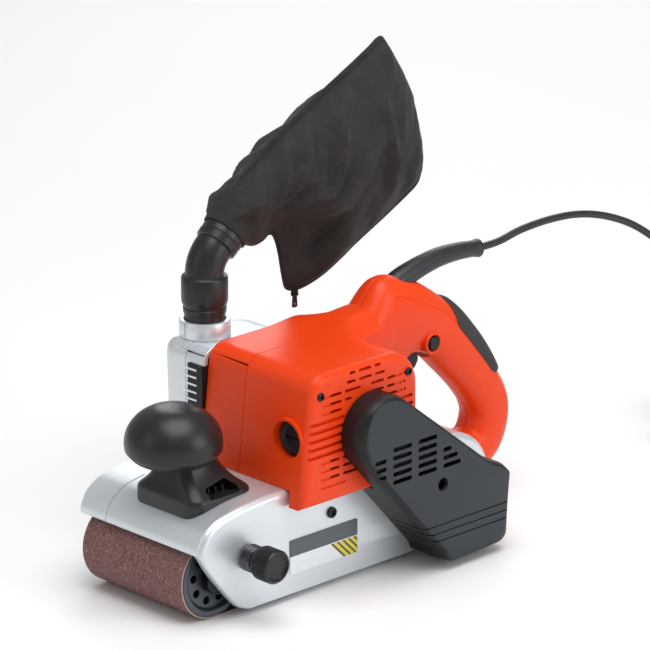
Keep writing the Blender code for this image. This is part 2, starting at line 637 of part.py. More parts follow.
def build_rear_handle():
    rows = smooth(HANDLE_STATIONS, 2)
    for name, middle, first, last in (("handle_near", -GAP / 2, 90, 270), ("handle_far", GAP / 2, -90, 90)):
        rings = [section(row, HANDLE_Y + middle, first, last, 10) for row in rows]
        half = part(name, loft(rings), ORANGE)
        cut(half, prism(TRIGGER_POCKET, "Y", HANDLE_Y - 9, HANDLE_Y + 9))
        cut(half, loft(sleeve_rings(GAP)))
        if name == "handle_near":
            cut(half, cylinder((LOCK_X, LOCK_Z), 5.4, "Y", -40, HANDLE_Y - 5, 20))
    places = [PAD_FIRST + (PAD_LAST - PAD_FIRST) * i / 10 for i in range(11)]
    rings = []
    for place in places:
        row = row_at(HANDLE_STATIONS, place)
        lift = 2.4 if 0 < places.index(place) < 10 else 1.0
        outer = section(row, HANDLE_Y, 52, 128, 8, lift)
        inner = section(row, HANDLE_Y, 128, 52, 8, GAP + 0.15)
        rings.append(outer + inner)
    part("grip_pad", loft(rings), RUBBER)
    switch = [(103, 132), (125, 132), (125, 140), (117, 148), (103, 148)]
    part("switch_body", prism(switch, "Y", -11, 2), BLACK)


def build_trigger():
    blade = [(98.5, 126.5), (98.5, 115), (103, 110.5), (115, 108), (122, 110.5)]
    blade += [(124.5, 117), (120, 128), (101, 128)]
    half = 7
    shape = soften(prism(blade, "Y", HANDLE_Y - half, HANDLE_Y + half), 1.5, 2, lambda point: point.z < 113)
    part("trigger", shape, BLACK, trigger_axis)
    button = [(0, -24), (4.0, -24), (4.9, -23.2), (4.9, -16.5), (0, -16.5)]
    part("lock_button", turned(button, (LOCK_X, LOCK_Z), "Y", 20), BLACK, lock_axis)


def build_front_knob():
    rings = []
    for inwards, height in ((0, 66), (0, 84.5), (2.0, 88.5), (6.0, 90.7)):
        outline = rounded_rectangle(-121 + inwards, -66 - inwards, -43 + inwards, 16 - inwards, 10)
        rings.append([(x, y, height) for x, y in outline])
    base = part("knob_base", loft(rings), BLACK)
    deck = [(x, z + GAP) for x, z in HOOD_FRONT]
    cut(base, prism(deck + [(-50, DECK_Z + GAP), (-50, 40), (-133, 40)], "Y", -60, 30))
    bolt = (-101, -14)
    cut(base, cylinder(bolt, 4.3, "Z", 60, 100, 16))
    neck = [(91, -94, 21, 22), (94, -97, 18.5, 18), (98, -101, 17, 15.5), (104, -106, 15, 14.5)]
    rings = []
    for z, x, rx, ry in neck:
        rings.append([(x + rx * math.cos(a), KNOB_Y + ry * math.sin(a), z) for a in turn_angles(24)])
    knob = part("front_knob", loft(rings), BLACK)
    ball = []
    for i in range(13):
        angle = math.radians(-90 + 15 * i)
        squash = 20.5 if angle < 0 else 23.5
        ball.append((max(0.0, 33 * math.cos(angle)) if 0 < i < 12 else 0, KNOB_Z + squash * math.sin(angle)))
    fuse(knob, turned(ball, (KNOB_X, KNOB_Y), "Z", 32))
    cut(knob, cylinder(bolt, 4.3, "Z", 85, 112, 16))
    part("knob_bolt", cylinder(bolt, 4, "Z", 78, 110, 16), STEEL)


def turn_angles(steps):
    return [2 * math.pi * i / steps for i in range(steps)]


# ---------------------------------------------------------------- cord
def build_cord():
    part("cord_sleeve", loft(sleeve_rings(0)), RUBBER)
    route = smooth(CORD_ROUTE, 3)
    curve = bpy.data.curves.new("cord", "CURVE")
    curve.dimensions = "3D"
    curve.bevel_depth = CORD_R * MM
    curve.bevel_resolution = 2
    curve.use_fill_caps = True
    spline = curve.splines.new("POLY")
    spline.points.add(len(route) - 1)
    for point, place in zip(spline.points, route):
        point.co = (*(place * MM), 1)
    curve.materials.append(RUBBER)
    cord = bpy.data.objects.new("cord", curve)
    bpy.context.collection.objects.link(cord)

    centre = (COIL_X, COIL_Y)
    inner, outer, chamfer = COIL_R - COIL_HALF, COIL_R + COIL_HALF, 3
    low, high = COIL_LOW, COIL_HIGH
    lower = [(inner, low + chamfer), (inner + chamfer, low), (outer - chamfer, low), (outer, low + chamfer)]
    upper = [(radius, low + high - height) for radius, height in lower[::-1]]
    part("cord_coil", turned(lower + upper, centre, "Z", 28), RUBBER)
    outlines = []
    for clear in (1.4, 0.4):
        left, right = COIL_X - COIL_HALF - clear, COIL_X + COIL_HALF + clear
        bottom, top = 1.6 - clear, COIL_HIGH + GAP - 0.2 + clear
        outlines.append([(left, bottom), (right, bottom), (right, top), (left, top)])
    outside, inside = outlines
    tie = frame_prism(outside, inside, "X", -3, 3)
    tie.transform(Matrix.Translation((COIL_X, COIL_Y + COIL_R - COIL_X, 0)))
    part("cord_tie", tie, BLACK)


def build_plug():
    """A two-pin mains plug on the coil's tangent, with its pins along -X."""
    boot_end = COIL_X - 24.6
    face = boot_end - 42
    profile = [(0, boot_end), (4.6, boot_end), (5.2, face + 30), (10, face + 22), (16.8, face + 10)]
    profile += [(17.4, face + 7), (17.4, face), (0, face)]
    part("plug_body", turned(profile, (PLUG_Y, PLUG_Z), "X", 24), BLACK)
    root = face - GAP
    for name, side in (("plug_pin_left", -9.5), ("plug_pin_right", 9.5)):
        pin = [(0, root), (2.4, root), (2.4, root - 17.7), (1.2, root - 19), (0, root - 19)]
        part(name, turned(pin, (PLUG_Y + side, PLUG_Z), "X", 12), STEEL)


build_frame()
build_platen()
build_side_details()
build_motor_housing()
build_stator()
build_rotor()
build_drive()
build_guard()
build_fork()
build_lever()
build_tracking()
build_fan_housing()
build_elbow()
build_bag()
build_rear_handle()
build_trigger()
build_front_knob()
build_cord()
build_plug()
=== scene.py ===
"""Looks of the handheld belt sander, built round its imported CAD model.

Shapes are drawn in millimetres, in the CAD model's own frame, and MM turns them into metres.
-X is the front, with the round knob, and -Y is the side with the drive guard.
"""

import math

import bmesh
import bpy
from mathutils import Matrix, Vector, noise


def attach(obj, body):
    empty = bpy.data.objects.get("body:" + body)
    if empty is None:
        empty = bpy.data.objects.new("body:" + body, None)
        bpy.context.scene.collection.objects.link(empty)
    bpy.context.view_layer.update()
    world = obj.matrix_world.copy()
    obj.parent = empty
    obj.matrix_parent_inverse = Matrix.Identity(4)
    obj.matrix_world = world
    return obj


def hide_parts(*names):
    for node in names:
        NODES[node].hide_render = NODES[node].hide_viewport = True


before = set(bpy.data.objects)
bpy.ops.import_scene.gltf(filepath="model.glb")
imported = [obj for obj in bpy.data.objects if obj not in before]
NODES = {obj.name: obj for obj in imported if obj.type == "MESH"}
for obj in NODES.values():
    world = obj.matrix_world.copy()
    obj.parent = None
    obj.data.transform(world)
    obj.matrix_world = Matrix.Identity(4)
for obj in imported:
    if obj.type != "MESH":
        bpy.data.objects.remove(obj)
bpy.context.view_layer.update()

MM = 0.001
SCENE = bpy.context.scene
NEARLY_STRAIGHT = 1.5  # half of a corner's angle, in radians, past which it isn't rounded
SHARPEST = 0.35  # keeps an inset corner from shooting out
TINY = 1e-6


# ---- outlines
def arc(x, z, radius, start, end, steps):
    """Points of an arc, from one angle to the other in degrees, both ends included."""
    angles = [math.radians(start + (end - start) * i / steps) for i in range(steps + 1)]
    return [(x + radius * math.cos(a), z + radius * math.sin(a)) for a in angles]


def anticlockwise(outline):
    """The outline in the order that inset and the caps expect."""
    area = sum(a[0] * b[1] - b[0] * a[1] for a, b in zip(outline, outline[1:] + outline[:1]))
    return outline if area > 0 else outline[::-1]


def rounded(corners, steps=7):
    """An outline from corners (x, z, radius), with each corner drawn as an arc."""
    points = []
    count = len(corners)
    for i in range(count):
        before, here, after = (Vector(corners[(i + k) % count][:2]) for k in (-1, 0, 1))
        radius = corners[i][2]
        back, ahead = (before - here).normalized(), (after - here).normalized()
        half = back.angle(ahead) / 2
        if radius <= 0 or half > NEARLY_STRAIGHT:
            points.append(tuple(here))
            continue
        reach = radius / math.tan(half)
        first, last = here + back * reach, here + ahead * reach
        centre = here + (back + ahead).normalized() * (radius / math.sin(half))
        from_angle = math.atan2(first.y - centre.y, first.x - centre.x)
        turn = math.atan2(last.y - centre.y, last.x - centre.x) - from_angle
        turn = (turn + math.pi) % (2 * math.pi) - math.pi
        for k in range(steps + 1):
            a = from_angle + turn * k / steps
            points.append((centre.x + radius * math.cos(a), centre.y + radius * math.sin(a)))
    return anticlockwise(points)


def rectangle(x0, z0, x1, z1, radius, steps=7):
    """A rectangle with round corners."""
    return rounded([(x0, z0, radius), (x1, z0, radius), (x1, z1, radius), (x0, z1, radius)], steps)


def inset(outline, distance):
    """The anticlockwise outline with its sides moved inwards, by one distance or one for each point."""
    moved = []
    count = len(outline)
    for i in range(count):
        before, here, after = (Vector(outline[(i + k) % count]) for k in (-1, 0, 1))
        first, second = (here - before).normalized(), (after - here).normalized()
        normal = Vector((-first.y - second.y, first.x + second.x)).normalized()
        by = distance[i] if isinstance(distance, list) else distance
        facing = normal.dot(Vector((-first.y, first.x)))
        moved.append(tuple(here + normal * (by / max(SHARPEST, facing))))
    return moved


def smooth(rows, per_span):
    """Rows of numbers read along a Catmull-Rom curve through the given rows."""
    ends = [rows[0]] + list(rows) + [rows[-1]]
    out = []
    for i in range(len(rows) - 1):
        a, b, c, d = (Vector(ends[i + k]) for k in range(4))
        for step in range(per_span):
            t = step / per_span
            square = 2 * a - 5 * b + 4 * c - d
            cube = 3 * b - a - 3 * c + d
            out.append(0.5 * (2 * b + (c - a) * t + square * t**2 + cube * t**3))
    return out + [Vector(rows[-1])]


def curve(rows, per_span):
    """The same curve as plain tuples, to join to an outline."""
    return [tuple(point) for point in smooth(rows, per_span)]


def ease(value, low, high):
    """0 below low, 1 above high, and a smooth rise between them."""
    t = min(1.0, max(0.0, (value - low) / (high - low)))
    return t * t * (3 - 2 * t)


def around(first, first_r, second, second_r, steps):
    """The closed outline of a belt drawn tight round two wheels."""
    run = Vector(second) - Vector(first)
    heading = math.degrees(math.atan2(run.y, run.x))
    lean = math.degrees(math.acos((first_r - second_r) / run.length))
    return arc(*first, first_r, heading + lean, heading + 360 - lean, steps) + arc(
        *second, second_r, heading - lean, heading + lean, steps
    )


# ---- shapes
def on_axis(axis, u, v, w):
    return {"X": (w, u, v), "Y": (u, w, v), "Z": (u, v, w)}[axis]


def loft(rings, caps=True, closed=False, shape=None):
    """A skin over rings of points, capped at both ends or closed on itself."""
    shape = shape or bmesh.new()
    rows = [[shape.verts.new(point) for point in ring] for ring in rings]
    pairs = list(zip(rows, rows[1:])) + ([(rows[-1], rows[0])] if closed else [])
    for low, high in pairs:
        for i in range(len(low)):
            k = (i + 1) % len(low)
            shape.faces.new((low[i], low[k], high[k], high[i]))
    if caps and not closed:
        shape.faces.new(rows[0])
        shape.faces.new(rows[-1])
    return shape


def stack(lines, axis, **how):
    """A loft through outlines, each at its own place along the axis."""
    return loft([[on_axis(axis, u, v, w) for u, v in line] for line, w in lines], **how)


def prism(outline, axis, low, high, shape=None):
    return stack(((outline, low), (outline, high)), axis, shape=shape)


def soft_prism(outline, axis, low, high, low_r=0.0, high_r=0.0, steps=5):
    """A prism with rounded end edges; a radius is one value or one for each point."""
    lines = []
    for end, radius, sign in ((low, low_r, 1), (high, high_r, -1)):
        radii = radius if isinstance(radius, list) else [radius] * len(outline)
        most = max(radii)
        shares = [i / steps for i in range(steps + 1)] if most > 0 else [1.0]
        for share in shares[::sign]:
            angle = math.radians(90 * share)
            line = inset(outline, [r * (1 - math.sin(angle)) for r in radii])
            lines.append((line, end + sign * most * (1 - math.cos(angle))))
    return stack(lines, axis)


def seam_ring(outline, deep, low, high):
    """A thin ring round an outline, reaching a little way in; cut away, it leaves a parting line."""
    outer, inner = inset(outline, -2), inset(outline, deep)
    return stack(((outer, low), (outer, high), (inner, high), (inner, low)), "Y", closed=True)


def box(low, high, shape=None):
    (x0, y0, z0), (x1, y1, z1) = low, high
    return prism([(x0, y0), (x1, y0), (x1, y1), (x0, y1)], "Z", z0, z1, shape)


def turned(profile, centre, axis, steps=48, shape=None):
    """A (radius, height) profile turned about an axis; it is a ring unless it starts on the axis."""
    shape = shape or bmesh.new()
    rows = []
    for radius, height in profile:
        if radius < TINY:
            rows.append([shape.verts.new(on_axis(axis, centre[0], centre[1], height))] * steps)
            continue
        circle = arc(*centre, radius, 0, 360 - 360 / steps, steps - 1)
        rows.append([shape.verts.new(on_axis(axis, u, v, height)) for u, v in circle])
    solid = profile[0][0] < TINY
    pairs = list(zip(rows, rows[1:])) + ([] if solid else [(rows[-1], rows[0])])
    for low, high in pairs:
        for i in range(steps):
            k = (i + 1) % steps
            corners = []
            for vert in (low[i], low[k], high[k], high[i]):
                if vert not in corners:
                    corners.append(vert)
            shape.faces.new(corners)
    return shape


def cylinder(centre, radius, axis, low, high, steps=40, shape=None):
    return turned([(0, low), (radius, low), (radius, high), (0, high)], centre, axis, steps, shape)


def washer(centre, inner, outer, axis, low, high, steps=40):
    return turned([(inner, low), (outer, low), (outer, high), (inner, high)], centre, axis, steps)


def slots(rows, top, step, height, low, high, shape=None):
    """Level slots with round ends, cut along Y: the spans of x in each row, counted down from the top."""
    shape = shape or bmesh.new()
    r = height / 2
    for row, spans in rows.items():
        z = top - step * row
        for start, end in spans:
            x0, x1 = start + r, max(end - r, start + r + 0.01)
            prism(arc(x1, z, r, -90, 90, 5) + arc(x0, z, r, 90, 270, 5), "Y", low, high, shape)
    return shape


def tube_rings(route, radii, sides):
    """Round rings square to a route of 3-D points that runs mostly in the XZ plane."""
    rings = []
    for i, here in enumerate(route):
        ahead = (Vector(route[min(i + 1, len(route) - 1)]) - Vector(route[max(i - 1, 0)])).normalized()
        side = ahead.cross(Vector((0, 1, 0))).normalized()
        other = side.cross(ahead)
        radius = radii[i] if isinstance(radii, list) else radii
        ring = []
        for k in range(sides):
            a = 2 * math.pi * k / sides
            ring.append(Vector(here) + side * (radius * math.cos(a)) + other * (radius * math.sin(a)))
        rings.append(ring)
    return rings


def helix(axis, centre, radius, wire, low, high, turns, per_turn, sides):
    """A coil of round wire with a whole number of turns."""
    rings = []
    for i in range(turns * per_turn + 1):
        angle = 2 * math.pi * i / per_turn
        along = low + wire + (high - low - 2 * wire) * i / (turns * per_turn)
        ring = []
        for k in range(sides):
            turn = 2 * math.pi * k / sides
            reach = radius + wire * math.cos(turn)
            spot = (centre[0] + reach * math.cos(angle), centre[1] + reach * math.sin(angle))
            ring.append(on_axis(axis, *spot, along + wire * math.sin(turn)))
        rings.append(ring)
    return loft(rings)


# ---- objects
def new_object(name, shape):
    bmesh.ops.recalc_face_normals(shape, faces=shape.faces)
    mesh = bpy.data.meshes.new(name)
    shape.to_mesh(mesh)
    shape.free()
    mesh.transform(Matrix.Scale(MM, 4))
    made = bpy.data.objects.new(name, mesh)
    SCENE.collection.objects.link(made)
    return made


def settle(obj):
    """Replaces the object's mesh by what its modifiers make of it."""
    graph = bpy.context.evaluated_depsgraph_get()
    mesh = bpy.data.meshes.new_from_object(obj.evaluated_get(graph))
    obj.modifiers.clear()
    obj.data = mesh


def combine(obj, shape, operation):
    """Cuts a shape from an object or joins it on; the shape is used up."""
    tool = new_object("tool", shape)
    modifier = obj.modifiers.new("tool", "BOOLEAN")
    modifier.operation = operation
    modifier.object = tool
    settle(obj)
    bpy.data.objects.remove(tool)


def cut(obj, shape):
    combine(obj, shape, "DIFFERENCE")


def fuse(obj, shape):
    combine(obj, shape, "UNION")


def dress(obj, finish, *replaces, body="frame", angle=35, slot=None):
    """Shades a finished piece, gives it its material and fixes it to its CAD body."""
    obj.data.materials.clear()
    obj.data.materials.append(finish)
    if obj.type == "MESH":
        obj.data.shade_smooth()
        obj.data.set_sharp_from_angle(angle=math.radians(angle))
    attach(obj, body)
    if replaces:
        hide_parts(*replaces)


# ---- materials
def linear(colour):
    """sRGB 0 to 255 as the linear colour that shaders use."""
    return tuple((((c / 255) + 0.055) / 1.055) ** 2.4 if c > 10 else c / 255 / 12.92 for c in colour)


class Surface:
    """Builds one procedural material; its patterns follow the piece's own coordinates."""

    def __init__(self, name, roughness, metallic=0.0):
        self.material = bpy.data.materials.new(name)
        self.material.use_nodes = True
        self.tree = self.material.node_tree
        self.shader = self.tree.nodes["Principled BSDF"]
        self.set(Roughness=roughness, Metallic=metallic)
        self.where = self.add("ShaderNodeTexCoord").outputs["Object"]
        self.relief = None

    def feed(self, socket, value):
        """Links a socket to its source, or sets its constant."""
        if isinstance(value, bpy.types.NodeSocket):
            self.tree.links.new(value, socket)
        else:
            socket.default_value = value

    def add(self, kind, settings=(), **inputs):
        """A new node; in the name of an input, _ stands for a space."""
        node = self.tree.nodes.new(kind)
        for key, value in dict(settings).items():
            setattr(node, key, value)
        for key, value in inputs.items():
            self.feed(node.inputs[key.replace("_", " ")], value)
        return node

    def noise(self, size_mm, detail=2.0, rough=0.5):
        """Noise from 0 to 1, with features of about that size."""
        mapping = self.add("ShaderNodeMapping", Scale=(1000 / size_mm,) * 3, Vector=self.where)
        scaled = mapping.outputs["Vector"]
        node = self.add("ShaderNodeTexNoise", Scale=1, Detail=detail, Roughness=rough, Vector=scaled)
        return node.outputs["Fac"]

    def cells(self, size_mm, output="Color"):
        return self.add("ShaderNodeTexVoronoi", Scale=1000 / size_mm, Vector=self.where).outputs[output]

    def wave(self, size_mm, direction="X", distortion=0.0):
        scale = 1000 / size_mm * math.pi / 10
        bands = {"bands_direction": direction}
        node = self.add("ShaderNodeTexWave", bands, Scale=scale, Distortion=distortion, Vector=self.where)
        return node.outputs["Fac"]

    def scale_to(self, value, low, high, from_low=0.0, from_high=1.0):
        limits = {"From_Min": from_low, "From_Max": from_high, "To_Min": low, "To_Max": high}
        return self.add("ShaderNodeMapRange", Value=value, **limits).outputs["Result"]

    def maths(self, operation, first, second=0.0):
        node = self.add("ShaderNodeMath", {"operation": operation})
        self.feed(node.inputs[0], first)
        self.feed(node.inputs[1], second)
        return node.outputs["Value"]

    def mix(self, share, first, second):
        """A colour between two; each is an sRGB colour from 0 to 255 or a socket."""
        node = self.add("ShaderNodeMix", {"data_type": "RGBA"})
        self.feed(node.inputs[0], share)
        for socket, value in ((node.inputs[6], first), (node.inputs[7], second)):
            self.feed(socket, value if isinstance(value, bpy.types.NodeSocket) else (*linear(value), 1))
        return node.outputs[2]

    def parts(self, vector):
        """The X, Y and Z of a vector."""
        node = self.add("ShaderNodeSeparateXYZ")
        self.feed(node.inputs[0], vector)
        return node.outputs

    def colour(self, source):
        self.feed(self.shader.inputs["Base Color"], source)

    def roughness(self, value, low, high):
        self.set(Roughness=self.scale_to(value, low, high))

    def bump(self, value, depth_mm):
        """Adds a relief of that depth; reliefs add up."""
        node = self.add("ShaderNodeBump", Strength=1.0, Distance=depth_mm * MM, Height=value)
        if self.relief is not None:
            self.feed(node.inputs["Normal"], self.relief)
        self.relief = node.outputs["Normal"]
        self.set(Normal=self.relief)

    def set(self, **values):
        for key, value in values.items():
            self.feed(self.shader.inputs[key.replace("_", " ")], value)


def times(colour, factor):
    return [min(255, c * factor) for c in colour]


def moulded(name, colour, roughness, grain_mm=0.9, grain=0.035, spread=0.05, shine=0.5):
    """Moulded plastic: slight drift in colour and gloss over a fine spark-eroded grain."""
    s = Surface(name, roughness)
    s.colour(s.mix(s.noise(38, 3), times(colour, 1 - spread), times(colour, 1 + spread)))
    s.roughness(s.noise(9, 4, rough=0.65), roughness - 0.07, roughness + 0.09)
    s.bump(s.noise(grain_mm), grain)
    s.set(Specular_IOR_Level=shine)
    return s.material


def metal(name, colour, roughness, lines_mm=0.25, depth=0.01):
    """Machined metal: tool lines, and slight tarnish that lowers its gloss in patches."""
    s = Surface(name, roughness, 1.0)
    s.colour(s.mix(s.noise(12, 4), times(colour, 0.86), colour))
    s.roughness(s.noise(4, 5, rough=0.7), roughness - 0.08, roughness + 0.14)
    s.bump(s.noise(lines_mm), depth)
    return s.material


def silver_paint():
    """Silver lacquer with fine flakes under a thin clear coat."""
    s = Surface("silver_paint", 0.36, 0.62)
    base = s.mix(s.noise(45, 3), (214, 221, 226), (226, 232, 236))
    s.colour(s.mix(s.scale_to(s.cells(0.45), 0.0, 0.16), base, (236, 241, 244)))
    s.roughness(s.noise(7, 4, rough=0.65), 0.30, 0.46)
    s.bump(s.noise(6, 3), 0.05)
    s.bump(s.noise(0.8), 0.012)
    s.set(Coat_Weight=0.25, Coat_Roughness=0.22)
    return s.material


def guard_plastic_and_shade():
    """Slate plastic face; the sides, which don't face -Y, are painted near-black as shade, told apart by
    which way the surface faces.
    """
    s = Surface("guard_plastic_and_shade", 0.42)
    facing = s.parts(s.add("ShaderNodeNewGeometry").outputs["Normal"])
    face = s.scale_to(facing["Y"], 1.0, 0.0, -0.99, -0.9)
    # Painted shade: surfaces that don't face -Y get near-black (24, 25, 26) in place of the slate plastic.
    s.colour(s.mix(face, (24, 25, 26), s.mix(s.noise(30, 3), (44, 49, 54), (50, 55, 61))))
    s.roughness(s.noise(8, 4, rough=0.65), 0.36, 0.5)
    s.bump(s.noise(0.9), 0.03)
    s.set(Specular_IOR_Level=0.3)
    return s.material


def grit():
    """Aluminium oxide grains in resin on brown cloth, with the pale cloth bare at the belt's two edges."""
    s = Surface("abrasive_grit", 0.75)
    grains = s.mix(s.scale_to(s.cells(0.9), 0, 1, 0.15, 0.85), (92, 58, 57), (170, 128, 124))
    clumps = s.scale_to(s.noise(2.2, 4, rough=0.8), 0, 1, 0.35, 0.65)
    tone = s.mix(clumps, (104, 67, 65), grains)
    bright = s.scale_to(s.cells(1.3, "Distance"), 0.85, 0.0, 0.0, 0.22)
    glints = s.maths("MULTIPLY", bright, s.scale_to(s.noise(1.1), 0, 1, 0.55, 0.62))
    tone = s.mix(glints, tone, (196, 168, 164))
    rim = s.maths("GREATER_THAN", s.maths("ABSOLUTE", s.parts(s.where)["Y"]), BARE_EDGE * MM)
    s.colour(s.mix(rim, tone, (176, 158, 148)))
    s.bump(s.cells(0.8, "Distance"), 0.16)
    s.bump(s.noise(1.6, 4, rough=0.8), 0.12)
    s.roughness(s.noise(1.0), 0.6, 0.9)
    return s.material


def bag_cloth():
    """Thin twill: crossed yarns, a slight sheen and a worn, dusty bloom in soft patches."""
    s = Surface("bag_cloth", 0.82)
    base = s.mix(s.noise(55, 4), (30, 27, 26), (39, 36, 35))
    bloom = s.scale_to(s.noise(14, 6, rough=0.7), 0, 0.45, 0.45, 0.8)
    s.colour(s.mix(bloom, base, (57, 52, 47)))
    s.bump(s.maths("MAXIMUM", s.wave(0.85, "X"), s.wave(0.85, "Z")), 0.05)
    s.bump(s.noise(2.5, 4, rough=0.7), 0.09)
    s.bump(s.noise(14, 3, rough=0.55), 0.9)
    s.roughness(s.noise(6, 3), 0.74, 0.92)
    s.set(Sheen_Weight=0.04, Sheen_Roughness=0.4)
    return s.material


def soft_rubber(name, colour, pebble_mm, depth):
    """Rubber with small dimples, paler where they are deepest."""
    s = Surface(name, 0.62)
    dots = s.cells(pebble_mm, "Distance")
    tone = s.mix(s.noise(20, 4), colour, times(colour, 1.25))
    s.colour(s.mix(s.scale_to(dots, 0.35, 0.0, 0.0, 0.5), tone, times(colour, 1.6)))
    s.bump(dots, -depth)
    s.roughness(s.noise(3, 3), 0.52, 0.72)
    return s.material


def label_film():
    """Printed film: a dark band over a pale one, with slanting stripes at its rear lower corner."""
    s = Surface("label_film", 0.32)
    place = s.parts(s.where)
    fleck = s.noise(3, 3)
    dark = s.mix(fleck, (74, 80, 86), (84, 90, 96))
    pale = s.mix(fleck, (226, 231, 234), (238, 242, 244))
    tone = s.mix(s.maths("GREATER_THAN", place["Z"], BAND_FOOT), pale, dark)
    lean = s.maths("ADD", place["X"], place["Z"])
    phase = s.maths("FRACT", s.maths("MULTIPLY", s.maths("ADD", lean, 1.0), 1 / STRIPE_STEP))
    yellow = s.mix(fleck, (224, 205, 40), (238, 220, 60))
    stripes = s.mix(s.maths("LESS_THAN", phase, 0.6), (70, 76, 82), yellow)
    corner = s.maths("GREATER_THAN", lean, STRIPES_FROM)
    lower = s.maths("LESS_THAN", place["Z"], STRIPES_TOP)
    s.colour(s.mix(s.maths("MULTIPLY", corner, lower), tone, stripes))
    s.bump(s.noise(2.0), 0.01)
    s.set(Coat_Weight=0.3, Coat_Roughness=0.15)
    return s.material


def windings():
    """Varnished copper wire, wound along the motor."""
    s = Surface("windings", 0.4, 0.6)
    strands = s.wave(1.0, "X", 1.5)
    s.colour(s.mix(strands, (92, 44, 22), (196, 112, 60)))
    s.bump(strands, 0.2)
    s.roughness(s.noise(3, 3), 0.3, 0.5)
    return s.material


def cork():
    """Pressed cork granules."""
    s = Surface("cork", 0.9)
    s.colour(s.mix(s.cells(1.8), (118, 78, 46), (196, 146, 98)))
    s.bump(s.cells(1.8, "Distance"), 0.2)
    s.roughness(s.noise(2, 3), 0.8, 0.97)
    return s.material


def paper():
    """The studio's white backdrop."""
    s = Surface("paper", 0.9)
    shades = [s.add("ShaderNodeRGB").outputs[0] for _ in range(2)]
    for shade, level in zip(shades, (0.90, 0.93)):
        shade.default_value = (level, level, level, 1)
    s.colour(s.mix(s.noise(400), *shades))
    return s.material


BARE_EDGE = 49.85  # half the width of the belt's grit, in mm
# The label's dark band and its stripes, in metres: heights, x plus z where they start, and their spacing.
BAND_FOOT, STRIPES_TOP, STRIPES_FROM, STRIPE_STEP = 0.0318, 0.0312, 0.0165, 0.0052
ORANGE = moulded("orange_plastic", (236, 66, 12), 0.36, 1.0, 0.03, 0.025, 0.3)
BLACK = moulded("black_plastic", (32, 32, 33), 0.33, 0.8, 0.03, 0.08, 0.42)
DARK = moulded("dark_plastic", (24, 24, 25), 0.5, 0.8, 0.03, 0.1, 0.35)
SHEATH = moulded("cord_sheath", (36, 37, 39), 0.4, 0.5, 0.01, 0.06)
SILVER = silver_paint()
GUARD_PLASTIC_AND_SHADE = guard_plastic_and_shade()
GRIT = grit()
CLOTH = bag_cloth()
RUBBER = soft_rubber("soft_rubber", (40, 39, 38), 1.5, 0.16)
ROLLER_RUBBER = soft_rubber("roller_rubber", (38, 38, 40), 3.0, 0.1)
STEEL = metal("steel", (176, 178, 182), 0.3)
BLUED = metal("blued_steel", (58, 59, 62), 0.36)
SPRING = metal("spring_steel", (92, 93, 97), 0.24)
CAST = metal("cast_roller", (104, 110, 116), 0.48, 1.5, depth=0.05)
PIN_METAL = metal("pin_metal", (205, 202, 190), 0.22, 0.3)
COPPER = windings()
CORK = cork()
LABEL = label_film()


# ---- camera, light and floor
LENS_MM, SENSOR_MM, FAR_CLIP = 255.9, 36, 100
CAMERA_AT, LOOK_AT = (-2.0414, -2.1737, 1.1693), (0.04236, 0, 0.15942)
FLOOR_HALF, SKY = 40000, 0.36
# Name, place, the point that it faces, size in metres, and watts.
LIGHTS = [
    ("top", (-0.1, -0.4, 1.9), (0.05, 0, 0.1), (1.5, 1.5), 28),
    ("left", (-1.7, 0.5, 0.9), (0.05, 0, 0.15), (0.9, 1.4), 2.6),
    ("right", (0.7, -1.8, 0.8), (0.05, 0, 0.15), (1.0, 1.2), 12),
    ("rear", (1.4, 1.3, 1.2), (0.05, 0, 0.2), (1.2, 1.2), 11),
]


def place_facing(name, data, place, target):
    made = bpy.data.objects.new(name, data)
    made.location = place
    made.rotation_euler = (Vector(target) - Vector(place)).to_track_quat("-Z", "Y").to_euler()
    SCENE.collection.objects.link(made)
    return made


def add_camera():
    data = bpy.data.cameras.new("camera")
    data.lens, data.sensor_width, data.clip_end = LENS_MM, SENSOR_MM, FAR_CLIP
    SCENE.camera = place_facing("camera", data, CAMERA_AT, LOOK_AT)


def add_studio():
    for name, place, target, size, power in LIGHTS:
        data = bpy.data.lights.new(name, "AREA")
        data.shape, data.size, data.size_y, data.energy = "RECTANGLE", *size, power
        place_facing(name, data, place, target)
    world = bpy.data.worlds.new("studio")
    world.use_nodes = True
    world.node_tree.nodes["Background"].inputs["Color"].default_value = (1, 1, 1, 1)
    world.node_tree.nodes["Background"].inputs["Strength"].default_value = SKY
    SCENE.world = world
    shape = bmesh.new()
    bmesh.ops.create_grid(shape, x_segments=1, y_segments=1, size=FLOOR_HALF)
    floor = new_object("floor", shape)
    floor.data.materials.append(paper())
    SCENE.view_settings.view_transform = "Standard"


add_camera()
add_studio()


# ---- mains lead
CORD_R, PITCH = 2.7, 5.45
COIL_X, COIL_Y, COIL_R = 433.0, -20.0, 30.0
COIL_FLOOR, LAYERS, COLUMNS, TURNS = 4.4, 3, 4, 11
COIL_START, COIL_ENTRY, CROSSING, COIL_STEP = 8.0, 85.0, 44.0, 12.0  # degrees along the coil
PLUG_END = COIL_X - 24.6  # x of the boot's open end
PLUG_AXIS = (COIL_Y - COIL_R - 8.3, 17.6)
CORD_ROUTE = [(188.6, -5, 184.3), (209, -5, 184.9), (231, -5, 188.6), (261, -5, 189.8), (292, -5, 187)]
CORD_ROUTE += [(324, -5, 178), (356, -5, 162.5), (384, -11, 139), (401, -25, 110), (407, -41, 84)]
CORD_ROUTE += [(407.5, -50, 65.5), (406.4, -51.4, 52), (405, -47.5, 40.2), (404, -39.5, 31.4)]
CORD_ROUTE += [(403.4, -30, 27.3), (403.2, -21, 26.6)]
# The strain relief's middle line and its radius there.
SLEEVE = [(99, 173.5, 8.2), (108, 178, 8.2), (120, 181.6, 7.9), (135, 184.8, 7.4), (150, 186.6, 7.0)]
SLEEVE += [(168, 186.4, 6.4), (188.2, 184.4, 5.8)]
LIP = (0.5, 1.0, -0.5)  # what its last three rings add to that radius
SLACK = 0.15  # how much thinner it is drawn than in the CAD model


